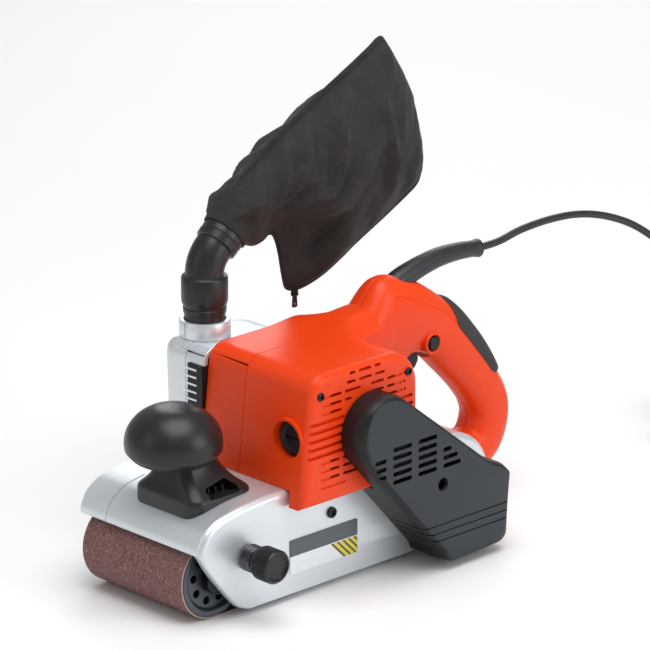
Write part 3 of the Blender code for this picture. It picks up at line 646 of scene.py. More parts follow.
def coil_points():
    """The lead's turns: four nested helices, wound down, up, down and up, and then off to the plug."""
    inner = COIL_R - PITCH * (COLUMNS - 1) / 2
    top = COIL_FLOOR + PITCH * LAYERS
    entry_z = CORD_ROUTE[-1][2]
    points = []
    angle = COIL_START
    while angle <= 270.0 + 360.0 * TURNS:
        wound = angle - COIL_ENTRY
        if wound < 0:
            radius = COIL_R + (inner - COIL_R) * ease(angle, 0, COIL_ENTRY)
            height = entry_z + (top - entry_z) * ease(angle, COIL_ENTRY * 0.15, COIL_ENTRY)
        else:
            column = min(COLUMNS - 1, int(wound // (LAYERS * 360)))
            within = wound - column * LAYERS * 360
            fall = within / 360 * PITCH
            height = top - fall if column % 2 == 0 else COIL_FLOOR + fall
            height = min(top, max(COIL_FLOOR, height))
            shift = ease(within, 0, CROSSING) if column else 1.0
            radius = inner + PITCH * (column - 1 + shift)
        a = math.radians(180 - angle)
        points.append(Vector((COIL_X + radius * math.cos(a), COIL_Y + radius * math.sin(a), height)))
        angle += COIL_STEP
    return points


def build_lead():
    line = smooth(CORD_ROUTE, 5) + coil_points()
    last, end = line[-1], Vector((PLUG_END + 0.6, *PLUG_AXIS))
    for i in range(1, 6):
        bend = ease(i / 5, 0, 1)
        line.append(Vector([a + (b - a) * t for a, b, t in zip(last, end, (i / 5, bend, bend))]))
    curved = bpy.data.curves.new("mains_lead", "CURVE")
    curved.dimensions = "3D"
    curved.bevel_depth = CORD_R * MM
    curved.bevel_resolution = 4
    curved.use_fill_caps = True
    spline = curved.splines.new("POLY")
    spline.points.add(len(line) - 1)
    for point, place in zip(spline.points, line):
        point.co = (*(place * MM), 1)
    made = bpy.data.objects.new("mains_lead", curved)
    SCENE.collection.objects.link(made)
    dress(made, SHEATH, "cord", "cord_coil", slot="cord_rubber")
    return made, sum((b - a).length for a, b in zip(line, line[1:]))


def build_sleeve():
    """The strain relief: a tapered rubber tube with a flared lip where the lead leaves it."""
    fine = smooth(SLEEVE, 7)
    radii = [r - SLACK for _, _, r in fine]
    radii[-3:] = [r + add for r, add in zip(radii[-3:], LIP)]
    sleeve = new_object("sleeve", loft(tube_rings([(x, -5, z) for x, z, _ in fine], radii, 40)))
    dress(sleeve, SHEATH, "cord_sleeve", angle=60)


def build_plug():
    """A round two-pin plug with finger ridges on its sides and a ribbed boot."""
    face = PLUG_END - 42
    profile = [(0, PLUG_END), (3.9, PLUG_END), (4.4, PLUG_END - 0.6)]
    for i in range(4):
        along = PLUG_END - 1.5 - 2.4 * i
        profile += [(4.6, along), (4.6, along - 1.2), (3.9, along - 1.4), (3.9, along - 2.2)]
    for radius, height in ((5.2, 30), (7.2, 25.5), (10.5, 20.5), (13.8, 15), (16.2, 10.5), (17.1, 8)):
        profile.append((radius, face + height))
    profile += [(17.3, face + 6), (17.3, face + 1.2), (16.4, face + 0.2), (15.5, face), (0, face)]
    made = new_object("plug", turned(profile, PLUG_AXIS, "X", 64))
    ridges = bmesh.new()
    mid_y, mid_z = PLUG_AXIS
    for i in range(5):
        along = face + 9 + 2.6 * i
        for side in (-1, 1):
            y = mid_y + side * (16.8 - 1.2 * i)
            low, high = sorted((y, y + side * 3))
            box((along - 0.5, low, mid_z - 6), (along + 0.5, high, mid_z + 6), ridges)
    cut(made, ridges)
    dress(made, DARK, "plug_body", slot="rubber", angle=40)
    root = face - 0.3
    pin = [(0, root), (2.4, root), (2.4, root - 16.5), (2.2, root - 17.6), (1.5, root - 18.6), (0, root - 19)]
    for side, offset in (("left", -9.5), ("right", 9.5)):
        contact = new_object(f"contact_{side}", turned(pin, (mid_y + offset, mid_z), "X", 28))
        dress(contact, PIN_METAL, f"plug_pin_{side}")
    return made


def build_tie():
    """A ribbed releasable tie round one side of the coil."""
    middle = COIL_Y + COIL_R
    walls = []
    for clear in (1.35, 0.45):
        section = rectangle(-11.0 - clear, 1.6 - clear, 11.0 + clear, 23.7 + clear, 1.4 + clear, 5)
        walls.append([(middle + y, z) for y, z in section])
    near, far = COIL_X - 3, COIL_X + 3
    outside, inside = walls
    strap = ((outside, near), (outside, far), (inside, far), (inside, near))
    made = new_object("lead_tie", stack(strap, "X", closed=True))
    head = rectangle(COIL_X - 3.4, middle - 4, COIL_X + 3.4, middle + 4, 1)
    fuse(made, soft_prism(head, "Z", 24.4, 25.6, 0, 0.5))
    dress(made, DARK, "cord_tie")
    return made


build_sleeve()
plug = build_plug()
tie = build_tie()
lead, lead_length = build_lead()


# ---- cast frame
BELT_LENGTH, BELT_R, ROLLER_R = 610.0, 29.0, 27.7
ROLLER_X = (BELT_LENGTH - 2 * math.pi * (BELT_R - 1)) / 4
DECK_Z, WALL_Y, GAP = 80.0, -64.0, 0.3
FRONT, REAR = (-ROLLER_X, BELT_R), (ROLLER_X, BELT_R)
MOTOR, COUNTER, TRACKING = (7, 113), (92, 38), (-90.5, 43)  # x and z of axes along Y
LEVER, KNOB_BOLT, OUTLET = (20, 50), (-101, -14), (-25.5, 48.0)  # x and y of axes along Z
HOOD_FRONT = [(-133, 53), (-131.6, 59), (-127, 66.7), (-119.6, 72), (-112, 75), (-92.6, 78.3), (-70, DECK_Z)]


def build_frame():
    front = smooth(HOOD_FRONT, 5)
    top = [tuple(p) for p in front] + arc(104, 43, 37, 90, 0, 18)
    under = [(141, 22.5)] + arc(*REAR, 31.5, -12, 90, 20) + arc(*FRONT, 31.5, 90, 135, 12)
    casting = new_object("cast_frame", prism(top + under, "Y", -60, 57))
    slope = curve([(-88, 3.6), (-97, 7.3), (-104, 14), (-111, 22), (-120, 33), (-127, 43)], 4)
    heel = curve([(141, 34), (137, 20), (128, 9), (114, 3.6)], 4)
    outline = anticlockwise(top + heel + slope)
    fillet = [2.0 + 2.4 * ease(z, 48, 60) for _, z in outline]
    fuse(casting, soft_prism(outline, "Y", WALL_Y, -58, fillet, 0, 5))
    fuse(casting, box((-45, WALL_Y + 4, 5.0), (74, 45, 50)))
    cut(casting, box((-6, WALL_Y + 12, 11), (80, 38, 44)))
    lug = anticlockwise(arc(*LEVER, 5, 0, 180, 14) + [(15, 44), (25, 44)])
    for low, high in ((15, 22.7), (35.3, 43)):
        fuse(casting, prism(lug, "Z", low, high))
    bores = cylinder((0, BELT_R), 9.3, "X", -50, -16)
    for centre, radius in ((REAR, 11.3), (COUNTER, 6.3), (TRACKING, 3.4)):
        cylinder(centre, radius, "Y", WALL_Y - 5, WALL_Y + 9, shape=bores)
    cut(casting, bores)
    line = [p for p in front if p.x < -94]
    seam = [(p.x - 1.5, p.y + 0.6) for p in line] + [(p.x + 0.4, p.y - 0.7) for p in line[::-1]]
    cut(casting, prism(anticlockwise(seam), "Y", 30.4, 31.5))
    dress(casting, SILVER, "base_frame", angle=30)


def build_side_details():
    label = soft_prism(rectangle(-52, 19, 11, 43.5, 1.2), "Y", -64.75, -64.3, 0.2, 0, 2)
    dress(new_object("label_plate", label), LABEL, "side_label")
    for name, node, spot, near, radius, seat in (
        ("side_bolt", "side_screw", (-13.4, 54.2), -66.3, 3.9, -64.3),
        ("housing_bolt_front", "housing_screw_front", (-38.5, 147), -81.6, 2.9, -80.3),
        ("housing_bolt_rear", "housing_screw_rear", (43.6, 145.6), -81.6, 2.9, -80.3),
    ):
        profile = [(0, near), (radius - 0.8, near), (radius - 0.2, near + 0.35), (radius, near + 0.9)]
        bolt = new_object(name, turned(profile + [(radius, seat), (0, seat)], spot, "Y"))
        socket = [(spot[0] + x, spot[1] + z) for x, z in arc(0, 0, radius * 0.55, 30, 330, 5)]
        cut(bolt, prism(socket, "Y", near - 1, near + 1.2))
        dress(bolt, BLUED, node)


# ---- motor housing
NEAR = -80.0  # the housing's near face
BRUSHES = (-60, 114.5)  # y and z of the brush caps' axis
# The brush cap's outer end: radius, and how deep below its rim.
CAP = [(0, 1.6), (7.4, 1.6), (8.2, 1), (10.2, 0), (11.2, 0.5), (11.6, 1.2)]
VENT_TOP, VENT_STEP, VENT_HEIGHT = 156.8, 5.78, 2.1
# Rows counted down from VENT_TOP: the spans of x that are open slots, and those that are blind grooves.
VENTS = {
    0: [(-11.2, -5.6), (-2.8, 9.4), (12.2, 17.8)],
    1: [(-14, -5.6), (-2.8, 9.4), (12.2, 21.6)],
    2: [(-28.8, -18.6), (-15.8, -0.9), (8.5, 20.7), (23.6, 32.1), (38.9, 40.9)],
    3: [(-28.8, -18.6), (-15.8, -9.3), (8.5, 20.8), (23.6, 31.2), (38.9, 40.9)],
    4: [(-28.8, -18.6), (23.6, 34), (39.6, 41.6)],
    **{row: [(-28.8, -20.4), (-17.6, 0)] for row in (10, 11, 12)},
}
GROOVES = {
    2: [(-35.5, -28), (31, 37.5)],
    3: [(-36, -28), (30.5, 37.5)],
    4: [(-36.5, -28), (33, 38.5)],
    5: [(-46.8, -15), (35, 48.2)],
    6: [(-47.5, -15), (41, 48.4)],
    7: [(-48.2, -15)],
    8: [(-48.9, -15)],
    9: [(-49.6, -15)],
    10: [(-37.5, -28)],
    11: [(-38, -28)],
    12: [(-38.5, -28)],
    13: [(-39, -15)],
}
LONG_GROOVES = range(5, 10)


def shoulder():
    """The swelling on top of the housing that runs back into the neck of the rear handle."""
    rings = []
    bend = 26
    for i in range(27):
        x = -6 + 3.0 * i
        past = min(bend - 0.1, max(0.0, x - 25.4))
        base = 160.9 - (bend - math.sqrt(bend**2 - past**2))
        crest = 160.9 + 7.4 * ease(x, -6, 74)
        width = 64 - 41 * ease(x, 4, 56)
        narrow = ease(x, 30, 53)
        near, far = 71.5 - 50.5 * narrow, 25.3 - 4.3 * narrow
        ring = []
        for k in range(41):
            y = -5 + (-near + (near + far) * k / 40)
            bell = 1 / (1 + (abs(y + 5) / width) ** 4)
            ring.append((x, y, base + (crest - base) * bell - 1.4 * (1 - bell)))
        low = 142.0 if x < 40 else 138.0
        rings.append([(x, -5 - near, low), *ring, (x, -5 + far, low)])
    return loft(rings)


def build_housing():
    outline = rounded([(-55, 69, 0), (-44.6, 161, 13), (54, 161, 26), (54.8, 69, 0)], 12)
    housing = new_object("housing_shell", soft_prism(outline, "Y", NEAR, 22, 6, 0.6, 7))
    cut(housing, box((-70, -66.3, 60), (70, 30, 80.3)))
    cut(housing, prism([(x, max(z, 84)) for x, z in inset(outline, 3)], "Y", NEAR + 3, 30))
    fuse(housing, prism([(x, max(z, 80.4)) for x, z in inset(outline, 1)], "Y", 19.4, 22))
    cut(housing, cylinder(MOTOR, 40, "Y", 15, 30, 72))
    cut(housing, box((-41, 15, 90), (7, 25, 150)))
    fuse(housing, washer(BRUSHES, 11.8, 15.2, "X", -51, -38.5, 56))
    cut(housing, seam_ring(outline, 0.55, -16.0, -15.4))
    fuse(housing, shoulder())
    cut(housing, slots(VENTS, VENT_TOP, VENT_STEP, VENT_HEIGHT, NEAR - 2, NEAR + 4))
    grooves = bmesh.new()
    for row, spans in GROOVES.items():
        depth, height = (2.7, 2.7) if row in LONG_GROOVES else (0.9, VENT_HEIGHT)
        slots({row: spans}, VENT_TOP, VENT_STEP, height, NEAR - 2, NEAR + depth, grooves)
    cut(housing, grooves)
    openings = cylinder(BRUSHES, 13.1, "X", -62, -38, 56)
    cylinder(BRUSHES, 12.5, "X", 44, 58, 56, openings)
    cylinder(MOTOR, 8.0, "Y", NEAR - 10, NEAR + 4, shape=openings)
    cut(housing, openings)
    dress(housing, ORANGE, "motor_housing", angle=32)
    build_vent_shade_plate(outline)
    for end, outer, inner, step in (("front", -46.6, -41, 1), ("rear", 48.5, 43.5, -1)):
        profile = [(radius, outer + step * deep) for radius, deep in CAP] + [(11.6, inner), (0, inner)]
        cap = new_object(f"cap_{end}", turned(profile, BRUSHES, "X", 56))
        low, high = sorted((outer, outer + step * 3))
        cut(cap, box((low, -66.5, 113.8), (high, -53.5, 115.2)))
        dress(cap, DARK, f"brush_cap_{end}")


def build_vent_shade_plate(outline):
    """A dark plate behind the housing's slots, painted shade that stands in for the shadow inside the
    housing, cut short where the corner posts and the deck are.
    """
    shading_plate = new_object("vent_shade_plate", soft_prism(inset(outline, 3.4), "Y", -74.6, -73.4, 0.3, 0.3, 2))
    for x0, x1, high in ((-60, -36, 170), (42.5, 62, 170), (-60, 60, 84.6)):
        cut(shading_plate, box((x0, NEAR, 60), (x1, -70, high)))
    cut(shading_plate, cylinder(MOTOR, 11.6, "Y", -90, -60, 56))
    dress(shading_plate, DARK)


# ---- drive guard
LOUVRES = {
    0: [(10, 28), (34, 52)],
    1: [(-7, 4), (10, 28), (34, 52)],
    2: [(-5, 4), (10, 28), (34, 52), (58, 66)],
    3: [(-1, 4), (10, 28), (34, 52), (58, 72)],
    4: [(10, 28), (34, 52), (58, 75)],
}
GUARD_SCREW = (58, 65.5)
GUARD_Y, GUARD_BACK, GROOVE_BACK = -100, -64.3, -66.5


def guard_section(left, right, out):
    """The guard's wall and face in a level cut, moved outwards about the same corner centres."""
    front_r, rear_r = 8.0, 9.0
    return (
        [(left - out, GROOVE_BACK)]
        + arc(left + front_r, GUARD_Y + front_r, front_r + out, 180, 270, 8)
        + arc(right - rear_r, GUARD_Y + rear_r, rear_r + out, 270, 360, 8)
        + [(right + out, GROOVE_BACK)]
    )


def build_guard():
    outline = anticlockwise(
        arc(7.5, 113.5, 27, 52, 222, 30)
        + [(55.5, 19), (60, 14)]
        + arc(71, 17, 12, 225, 270, 6)
        + arc(116, 15, 10, -90, 0, 8)
        + arc(121.5, 56.5, 4.5, 0, 45, 4)
        + [(119.5, 64.5), (113, 67.4), (106.5, 70.4), (101, 74.2)]
    )
    fillet = []
    for x, z in outline:
        rear = ease(x, 100, 122) * ease(z, 52, 40)
        top_front = ease(x, 0, -12) * ease(z, 92, 108) * ease(z, 136, 122)
        fillet.append(3.2 + 5.8 * rear + 4.6 * top_front)
    guard = new_object("guard_shell", soft_prism(outline, "Y", GUARD_Y, GUARD_BACK, fillet, 0, 8))
    cut(guard, prism(inset(outline, 2.5), "Y", GUARD_Y + 2.5, -59))
    cut(guard, box((-60, -80.3, 68.7), (55.1, -59, 160)))
    fuse(guard, cylinder(GUARD_SCREW, 6.3, "Y", -99, GUARD_BACK))
    recess = [(0, -110), (4.7, -110), (4.7, -99), (4.3, -98.4), (4.3, -72), (0, -72)]
    cut(guard, turned(recess, GUARD_SCREW, "Y"))
    cut(guard, cylinder(GUARD_SCREW, 2.4, "Y", -75, -59))
    cut(guard, slots(LOUVRES, 102, 5.85, 3.1, GUARD_Y - 3, GUARD_Y + 6))
    grooves = bmesh.new()
    for z in (36.5, 30.7, 24.9):
        left, right = span_at(outline, z)
        section = guard_section(left, right, -0.8) + guard_section(left, right, 4)[::-1]
        prism(section, "Z", z - 0.5, z + 0.5, grooves)
    cut(guard, grooves)
    dress(guard, GUARD_PLASTIC_AND_SHADE, "belt_guard", angle=30)
    bolt = [(0, -76.4), (2.0, -76.4), (2.2, -77), (3.4, -76.8), (4, -76.2), (4, -72.3), (2, -72.3)]
    bolt += [(2, -64.9), (0, -64.9)]
    dress(new_object("guard_bolt", turned(bolt, GUARD_SCREW, "Y")), BLUED, "guard_screw")
    build_guard_plates(inset(outline, 2.8))


def build_guard_plates(outline):
    """A dark liner behind the louvres, between the drive belt and the casing, painted shade that stands in
    for the shadow inside the guard, and a plate that closes the back.
    """
    shafts = [(COUNTER, 6.5), (MOTOR, 12.5), (GUARD_SCREW, 7.0)]
    for name, low, high, holes in (
        ("louvre_shade_liner", -84.6, -83.4, shafts),
        ("guard_back", -66.6, -65.2, shafts + [(REAR, 8.0)]),
    ):
        plate = new_object(name, soft_prism(outline, "Y", low, high, 0.3, 0.3, 2))
        if name == "guard_back":
            cut(plate, box((-60, -90, 60), (55.4, -50, 160)))
        cutters = bmesh.new()
        for centre, radius in holes:
            cylinder(centre, radius, "Y", -90, -50, shape=cutters)
        cut(plate, cutters)
        dress(plate, DARK)


def span_at(outline, z):
    """The lowest and highest x of an outline at one height."""
    xs = []
    for (x0, z0), (x1, z1) in zip(outline, outline[1:] + outline[:1]):
        if (z0 - z) * (z1 - z) <= 0 and abs(z1 - z0) > TINY:
            xs.append(x0 + (x1 - x0) * (z - z0) / (z1 - z0))
    return min(xs), max(xs)


build_frame()
build_side_details()
build_housing()
build_guard()


# ---- rear handle
HANDLE_Y, LOCK = -5.0, (126, 132)
# The grip's middle line: x, z, heading in degrees, and half the height and half the width across it.
HANDLE_STATIONS = [
    (52.6, 138.5, 0, 21.5, 20.0),
    (70.0, 142.5, 6, 24.0, 19.0),
    (87.0, 151.0, 2, 33.0, 17.5),
    (104.0, 148.5, -8, 33.0, 17.0),
    (122.7, 145.3, -28, 25.0, 16.5),
    (140.7, 135.3, -43, 21.0, 16.0),
    (161.1, 114.1, -45, 18.8, 16.0),
    (179.0, 93.5, -50, 17.2, 16.0),
    (191.0, 76.0, -66, 17.2, 16.0),
    (194.6, 60.0, -92, 17.3, 16.0),
    (187.0, 41.5, -130, 17.3, 16.0),
    (168.0, 34.5, -172, 17.8, 16.5),
    (141.8, 35.0, -180, 18.5, 17.5),
]
PAD_FIRST, PAD_LAST = 4.6, 7.5  # where the grip pad lies, counted in stations
PAD_STEPS, PAD_ACROSS = 44, 7
OVAL_POWER = 2.4  # 2 would be an ellipse, and more is squarer


def oval(station, angle, plane_y, extra=0.0):
    """A point of the oval across the handle at one station."""
    x, z, heading, half_height, half_width = station
    turn = math.radians(heading)
    across = Vector((-math.sin(turn), 0, math.cos(turn)))
    cosine, sine = math.cos(math.radians(angle)), math.sin(math.radians(angle))
    side = math.copysign(abs(cosine) ** (2 / OVAL_POWER), cosine) * (half_width + extra)
    rise = math.copysign(abs(sine) ** (2 / OVAL_POWER), sine) * (half_height + extra)
    return Vector((x, plane_y + side, z)) + across * rise


def build_rear_handle():
    rows = smooth(HANDLE_STATIONS, 7)
    pocket = [(98, 106), (124, 106), (131, 118), (131, 138), (120, 150), (102, 150), (96, 142), (96, 112)]
    pocket = rounded([(x, z, 2.5) for x, z in pocket], 3)
    sleeve = smooth(SLEEVE, 4)
    bore = ([(x, HANDLE_Y, z) for x, z, _ in sleeve], [r + GAP for _, _, r in sleeve])
    spread = [0.9, 3, 7, 12] + [12 + 13 * i for i in range(1, 13)] + [173, 177, 179.1]
    collar = [(5.0, -14.5), (8.4, -14.5), (8.0, -22.2), (7.5, -22.9), (6.2, -22.9), (5.8, -22.2)]
    for end, sign in (("near", -1), ("far", 1)):
        plane_y = HANDLE_Y + sign * GAP / 2
        rings = []
        for row in rows:
            low, high = oval(row, 90, plane_y, -0.55), oval(row, 270, plane_y, -0.55)
            rings.append([low] + [oval(row, 90 - sign * a, plane_y) for a in spread] + [high])
        half = new_object(f"handle_shell_{end}", loft(rings))
        cut(half, prism(pocket, "Y", HANDLE_Y - 9, HANDLE_Y + 9))
        cut(half, loft(tube_rings(*bore, 32)))
        if sign < 0:
            fuse(half, turned(collar, LOCK, "Y", 56))
            cut(half, cylinder(LOCK, 5.4, "Y", -40, HANDLE_Y - 5, 56))
            seam = [oval(rows[i], 144 + 8 * ease(i, 14, 30), plane_y) for i in range(15, 67)]
            cut(half, loft(tube_rings(seam, 0.5, 8)))
        dress(half, ORANGE, f"handle_{end}", angle=34)


def build_grip_pad():
    """A rubber inlay on the back of the grip, pointed above and round below."""
    rings = []
    rows = smooth(HANDLE_STATIONS, 20)
    for i in range(PAD_STEPS + 1):
        t = i / PAD_STEPS
        spot = (PAD_FIRST + (PAD_LAST - PAD_FIRST) * t) * 20
        low = rows[int(spot)]
        row = low + (rows[min(int(spot) + 1, len(rows) - 1)] - low) * (spot - int(spot))
        half = 4.0 + 61 * min(1.0, t / 0.24) ** 0.8
        if t > 0.86:
            half *= math.sqrt(max(0.03, 1 - ((t - 0.86) / 0.145) ** 2))
        rise = (1.7 + 2.6 * math.sin(math.pi * t)) * min(1, t / 0.05) * min(1, (1 - t) / 0.03) + 0.6
        shares = [k / PAD_ACROSS - 1 for k in range(2 * PAD_ACROSS + 1)]
        lifts = [0.55 + (rise - 0.55) * (1 - abs(share) ** 4) for share in shares]
        outer = [oval(row, 90 + half * share, HANDLE_Y, lift) for share, lift in zip(shares, lifts)]
        rings.append(outer + [oval(row, 90 - half * share, HANDLE_Y, 0.2) for share in shares])
    dress(new_object("grip_inlay", loft(rings)), RUBBER, "grip_pad", angle=40)


def build_trigger():
    blade = [(98.5, 126.5, 2), (98.5, 117.5, 4), (102.5, 114.4, 4), (108.5, 113.6, 12)]
    blade += [(113.5, 111.4, 3), (119, 113, 3), (122.4, 118.6, 4), (120, 128, 2)]
    shape = soft_prism(rounded(blade, 6), "Y", HANDLE_Y - 6.9, HANDLE_Y + 6.9, 1.8, 1.8, 5)
    dress(new_object("trigger_blade", shape), DARK, "trigger", body="trigger_blade")
    pin = [(0, -23.6), (2.2, -23.7), (3.6, -24.0), (4.3, -23.8), (4.8, -23.1), (4.9, -22.4), (4.9, -16.5)]
    shape = turned(pin + [(0, -16.5)], LOCK, "Y", 48)
    dress(new_object("lock_pin_cap", shape), DARK, "lock_button", body="lock_pin")


# ---- front knob
# How far the foot has drawn in from its rounded base to the knob's neck, and the height there.
FOOT_RISE = [(0, 79.5), (0.01, 80.6), (0.04, 81.8), (0.09, 82.8), (0.16, 83.9), (0.26, 85.4), (0.38, 87.2)]
FOOT_RISE += [(0.51, 89.6), (0.64, 92.4), (0.76, 95.4), (0.87, 98.4), (0.95, 101.5), (1.0, 105)]
KNOB = [(0, 100.0), (15, 100.3), (21, 101.2), (25.5, 102.9), (29, 105.4), (31.3, 108.2), (31.9, 108.9)]
KNOB += [(32.1, 109.6), (32.7, 110.0), (33.2, 112.6), (33.3, 116), (32.7, 120.4), (31.0, 125.2)]
KNOB += [(28.0, 129.9), (24.0, 134.0), (19, 137.3), (13.5, 139.6), (7, 140.7), (0, 141)]


def build_front_knob():
    edge = rectangle(-122.4, -46.6, -66, 17, 11, 10)
    middle = Vector((-94.2, -14.8))
    rings = [[(x, y, 66) for x, y in edge]]
    for blend, height in FOOT_RISE:
        ring = []
        for x, y in edge:
            turn = math.atan2((y - middle.y) / 31.8, (x - middle.x) / 28.2)
            neck = Vector((-100 + 19.5 * math.cos(turn), -15.5 + 17.5 * math.sin(turn)))
            ring.append((*Vector((x, y)).lerp(neck, blend), height))
        rings.append(ring)
    base = new_object("knob_foot", loft(rings))
    deck = [(p.x, p.y + GAP) for p in smooth(HOOD_FRONT, 5)]
    cut(base, prism(anticlockwise(deck + [(-50, DECK_Z + GAP), (-50, 40), (-133, 40)]), "Y", -60, 30))
    window = [(-106.5, 81.7, 1), (-80, 81.7, 1), (-80, 85.5, 1.2), (-87, 91, 2), (-106.5, 88, 2)]
    cut(base, prism(rounded(window, 4), "Y", -49, -30))
    ribs = bmesh.new()
    for i in range(3):
        box((-101.2 + 6.2 * i, -37.5, 78), (-100.2 + 6.2 * i, -28, 86.5), ribs)
    fuse(base, ribs)
    cut(base, cylinder(KNOB_BOLT, 4.3, "Z", 60, 108, 32))
    dress(base, BLACK, "knob_base", angle=38)
    profile = [(max(0.0, r), z) for r, z in smooth(KNOB, 3)]
    knob = new_object("knob_grip", turned(profile, (-109.2, -12), "Z", 96))
    cut(knob, cylinder(KNOB_BOLT, 4.3, "Z", 85, 112, 32))
    dress(knob, BLACK, "front_knob", angle=30)


# ---- dust outlet
BARS, BAR_FIRST, BAR_STEP = 9, 98, 5.4
# Height and outer radius of the elbow's upright cuff.
CUFF = [(166.4, 13.8), (167, 14.2), (173.4, 14.2), (173.9, 14.9), (177.2, 15.1), (177.7, 14.6), (178.4, 14.8)]
CUFF += [(181.2, 16.0), (183.6, 16.2), (197.9, 16.2), (199.2, 15.7), (199.7, 15.0), (200.1, 13.6)]
# Distance along its slanting end, with the bag's band, and outer radius there.
NECK = [(3.0, 13.5), (3.4, 14.6), (4.0, 15.2), (8.2, 15.4), (8.8, 14.7), (9.6, 14.7), (10.2, 15.4)]
NECK += [(16.4, 15.3), (17.0, 14.8)]


def build_fan_housing():
    volute = [(-48, DECK_Z + GAP), (-50, 100), (-50, 146)]
    volute += curve([(-49.4, 150), (-47.5, 154), (-43, 157)], 4) + arc(*MOTOR, 44, 90, -47, 44)
    volute = anticlockwise(volute)
    rounding = [5 + 4 * max(ease(z, 146, 100) * (x < -40), ease(x, -40, 0)) for x, z in volute]
    shell = new_object("fan_shell", soft_prism(volute, "Y", 22.3, 64, 0.6, rounding, 8))
    cut(shell, prism(inset(volute, 3), "Y", 15, 60))
    fuse(shell, washer(MOTOR, 11.3, 14.5, "Y", 50, 60.5, 56))
    cut(shell, cylinder(OUTLET, 11.5, "Z", 150, 165, 56))
    cut(shell, seam_ring(volute, 0.7, 40.6, 41.3))
    cut(shell, box((-52, 22, 93.8), (-46.2, 24.5, 145.7)))
    bars, gaps = bmesh.new(), bmesh.new()
    for i in range(BARS):
        z = BAR_FIRST + BAR_STEP * i
        box((-52.6, 27.5, z), (-49.0, 38.6, z + 1.3), bars)
        box((-53, 27.2, z - 0.3), (-48, 39, z + 1.6), gaps)
    fuse(shell, bars)
    dress(shell, SILVER, "fan_housing", angle=32)
    corner = [(-51.8, 22.5), (-46.4, 22.5), (-46.4, 24.3), (-50.2, 24.3), (-50.2, 37), (-51.8, 37)]
    screen = new_object("vent_screen", soft_prism(corner, "Z", 94, 145.5, 0.2, 0.2, 2))
    cut(screen, gaps)
    dress(screen, DARK, "fan_grille")
    collar = [(12.5, 157.3), (17.6, 157.3), (17.9, 158), (17.9, 168.2), (17.5, 168.9), (16.9, 169.1)]
    collar += [(14.9, 169.1), (14.6, 168.7), (14.6, 166.0), (12.9, 166), (12.5, 165.6)]
    ring = new_object("outlet_ring", turned(collar, OUTLET, "Z", 72))
    cut(ring, box((OUTLET[0] - 20, 48.2, 158.5), (OUTLET[0] - 6, 48.9, 171)))
    dress(ring, SILVER, "outlet_collar")


def build_elbow():
    x, y = OUTLET
    rows = [(x, z, radius) for z, radius in CUFF]
    rows += [(px, pz, 13.5) for px, pz in arc(x + 22, 200, 22, 176, 132, 12)]
    last = Vector(rows[-1][:2])
    heading = Vector((math.sin(math.radians(50)), math.cos(math.radians(50))))
    rows += [(*(last + heading * reach), radius) for reach, radius in NECK]
    route = [(px, y, pz) for px, pz, _ in rows]
    outer = tube_rings(route, [r for _, _, r in rows], 64)
    inner = tube_rings(route, [min(r - 2.2, 11.6) for _, _, r in rows], 64)
    elbow = new_object("outlet_elbow", loft(outer + inner[::-1], closed=True))
    dress(elbow, BLACK, "dust_elbow", body="dust_swivel", angle=30)


# ---- dust bag
# The bag's top and under edges, x and z at the same stations, and half its thickness there.
BAG_TOP = [(-17.3, 237.9), (-14.7, 241), (-5, 251.5), (10, 264), (28, 276.5), (38, 283), (46, 287.5)]
BAG_TOP += [(53, 291.5), (60, 295.2), (70, 300.5), (90, 311), (112, 322), (128, 330.4), (141, 337)]
BAG_TOP += [(148.6, 330), (158.4, 315.6), (166.4, 302.5), (170.6, 289), (175.6, 277), (179.2, 262)]
BAG_UNDER = [(3.2, 213.6), (6.6, 215.3), (14.6, 212.6), (26.4, 213), (36.2, 215.2), (40.6, 209)]
BAG_UNDER += [(44.4, 197.5), (47, 181.5), (51.2, 172), (65.5, 169.6), (89.6, 176), (118, 190.5)]
BAG_UNDER += [(142, 202), (159, 210.5), (170, 216.2), (177.5, 220.6), (181.3, 225), (182.8, 231)]
BAG_UNDER += [(183.2, 238), (182.8, 247)]
BAG_HALF = [15.9, 16.6, 17.4, 18.5, 19.5, 20.5, 21.5, 22.5, 23.5, 24.5]
BAG_HALF += [24.5, 23, 20, 16, 12, 9, 6.5, 4.6, 3.2, 1.8]
FOLD_WIDTH, FOLD_LIFT = 0.8, 2.9  # scale the widths and heights below
# Each fold: a broken line in x and z, its width and its height.
FOLDS = [
    ([(-12, 254), (5.6, 247.8)], 4, 1.2),
    ([(-12, 238), (3.9, 246.8), (7.4, 260.5)], 4, 1.5),
    ([(5.5, 239.9), (17.8, 271.5), (28.2, 287.7)], 4.5, 2.2),
    ([(19.3, 239.6), (35.1, 267.9), (45.6, 292.1)], 5, 2.4),
    ([(30.6, 242.5), (49.0, 267.7), (63.0, 293.9)], 5, 2.6),
    ([(35.0, 233.6), (68.3, 243.8), (80.7, 271.8), (84.2, 297.6)], 6, 3.0),
    ([(41.9, 226.8), (80.7, 234.5), (119.9, 271.9)], 7, 3.0),
    ([(87.7, 289.0), (98.3, 313.3), (119.6, 330.4)], 6, 2.2),
    ([(127.0, 298.5), (130.8, 261.6), (134.6, 231.2)], 6, 2.4),
    ([(60, 190), (74, 214), (86, 224)], 6, -1.8),
]
# The front edge of the lobe that hangs below the bag, where the cloth has to stay thin.
BAG_FRONT = [(38.4, 214.2), (41.4, 205), (45.2, 194.6), (47, 184), (47.3, 176), (52, 171.3)]
BAG_AROUND, SIM_FRAMES = 46, 34
SEWN_ROWS, CUFF_ROWS = 3, 7  # rings held firmly at the closed end and on the elbow


def off_line(here, line):
    """For each stretch of a broken line: its number, the nearest place on it as a share, and how far off."""
    for i, (a, b) in enumerate(zip(line, line[1:])):
        start, run = Vector(a), Vector(b) - Vector(a)
        share = min(1.0, max(0.0, (here - start).dot(run) / run.length_squared))
        yield i, share, (here - start - run * share).length


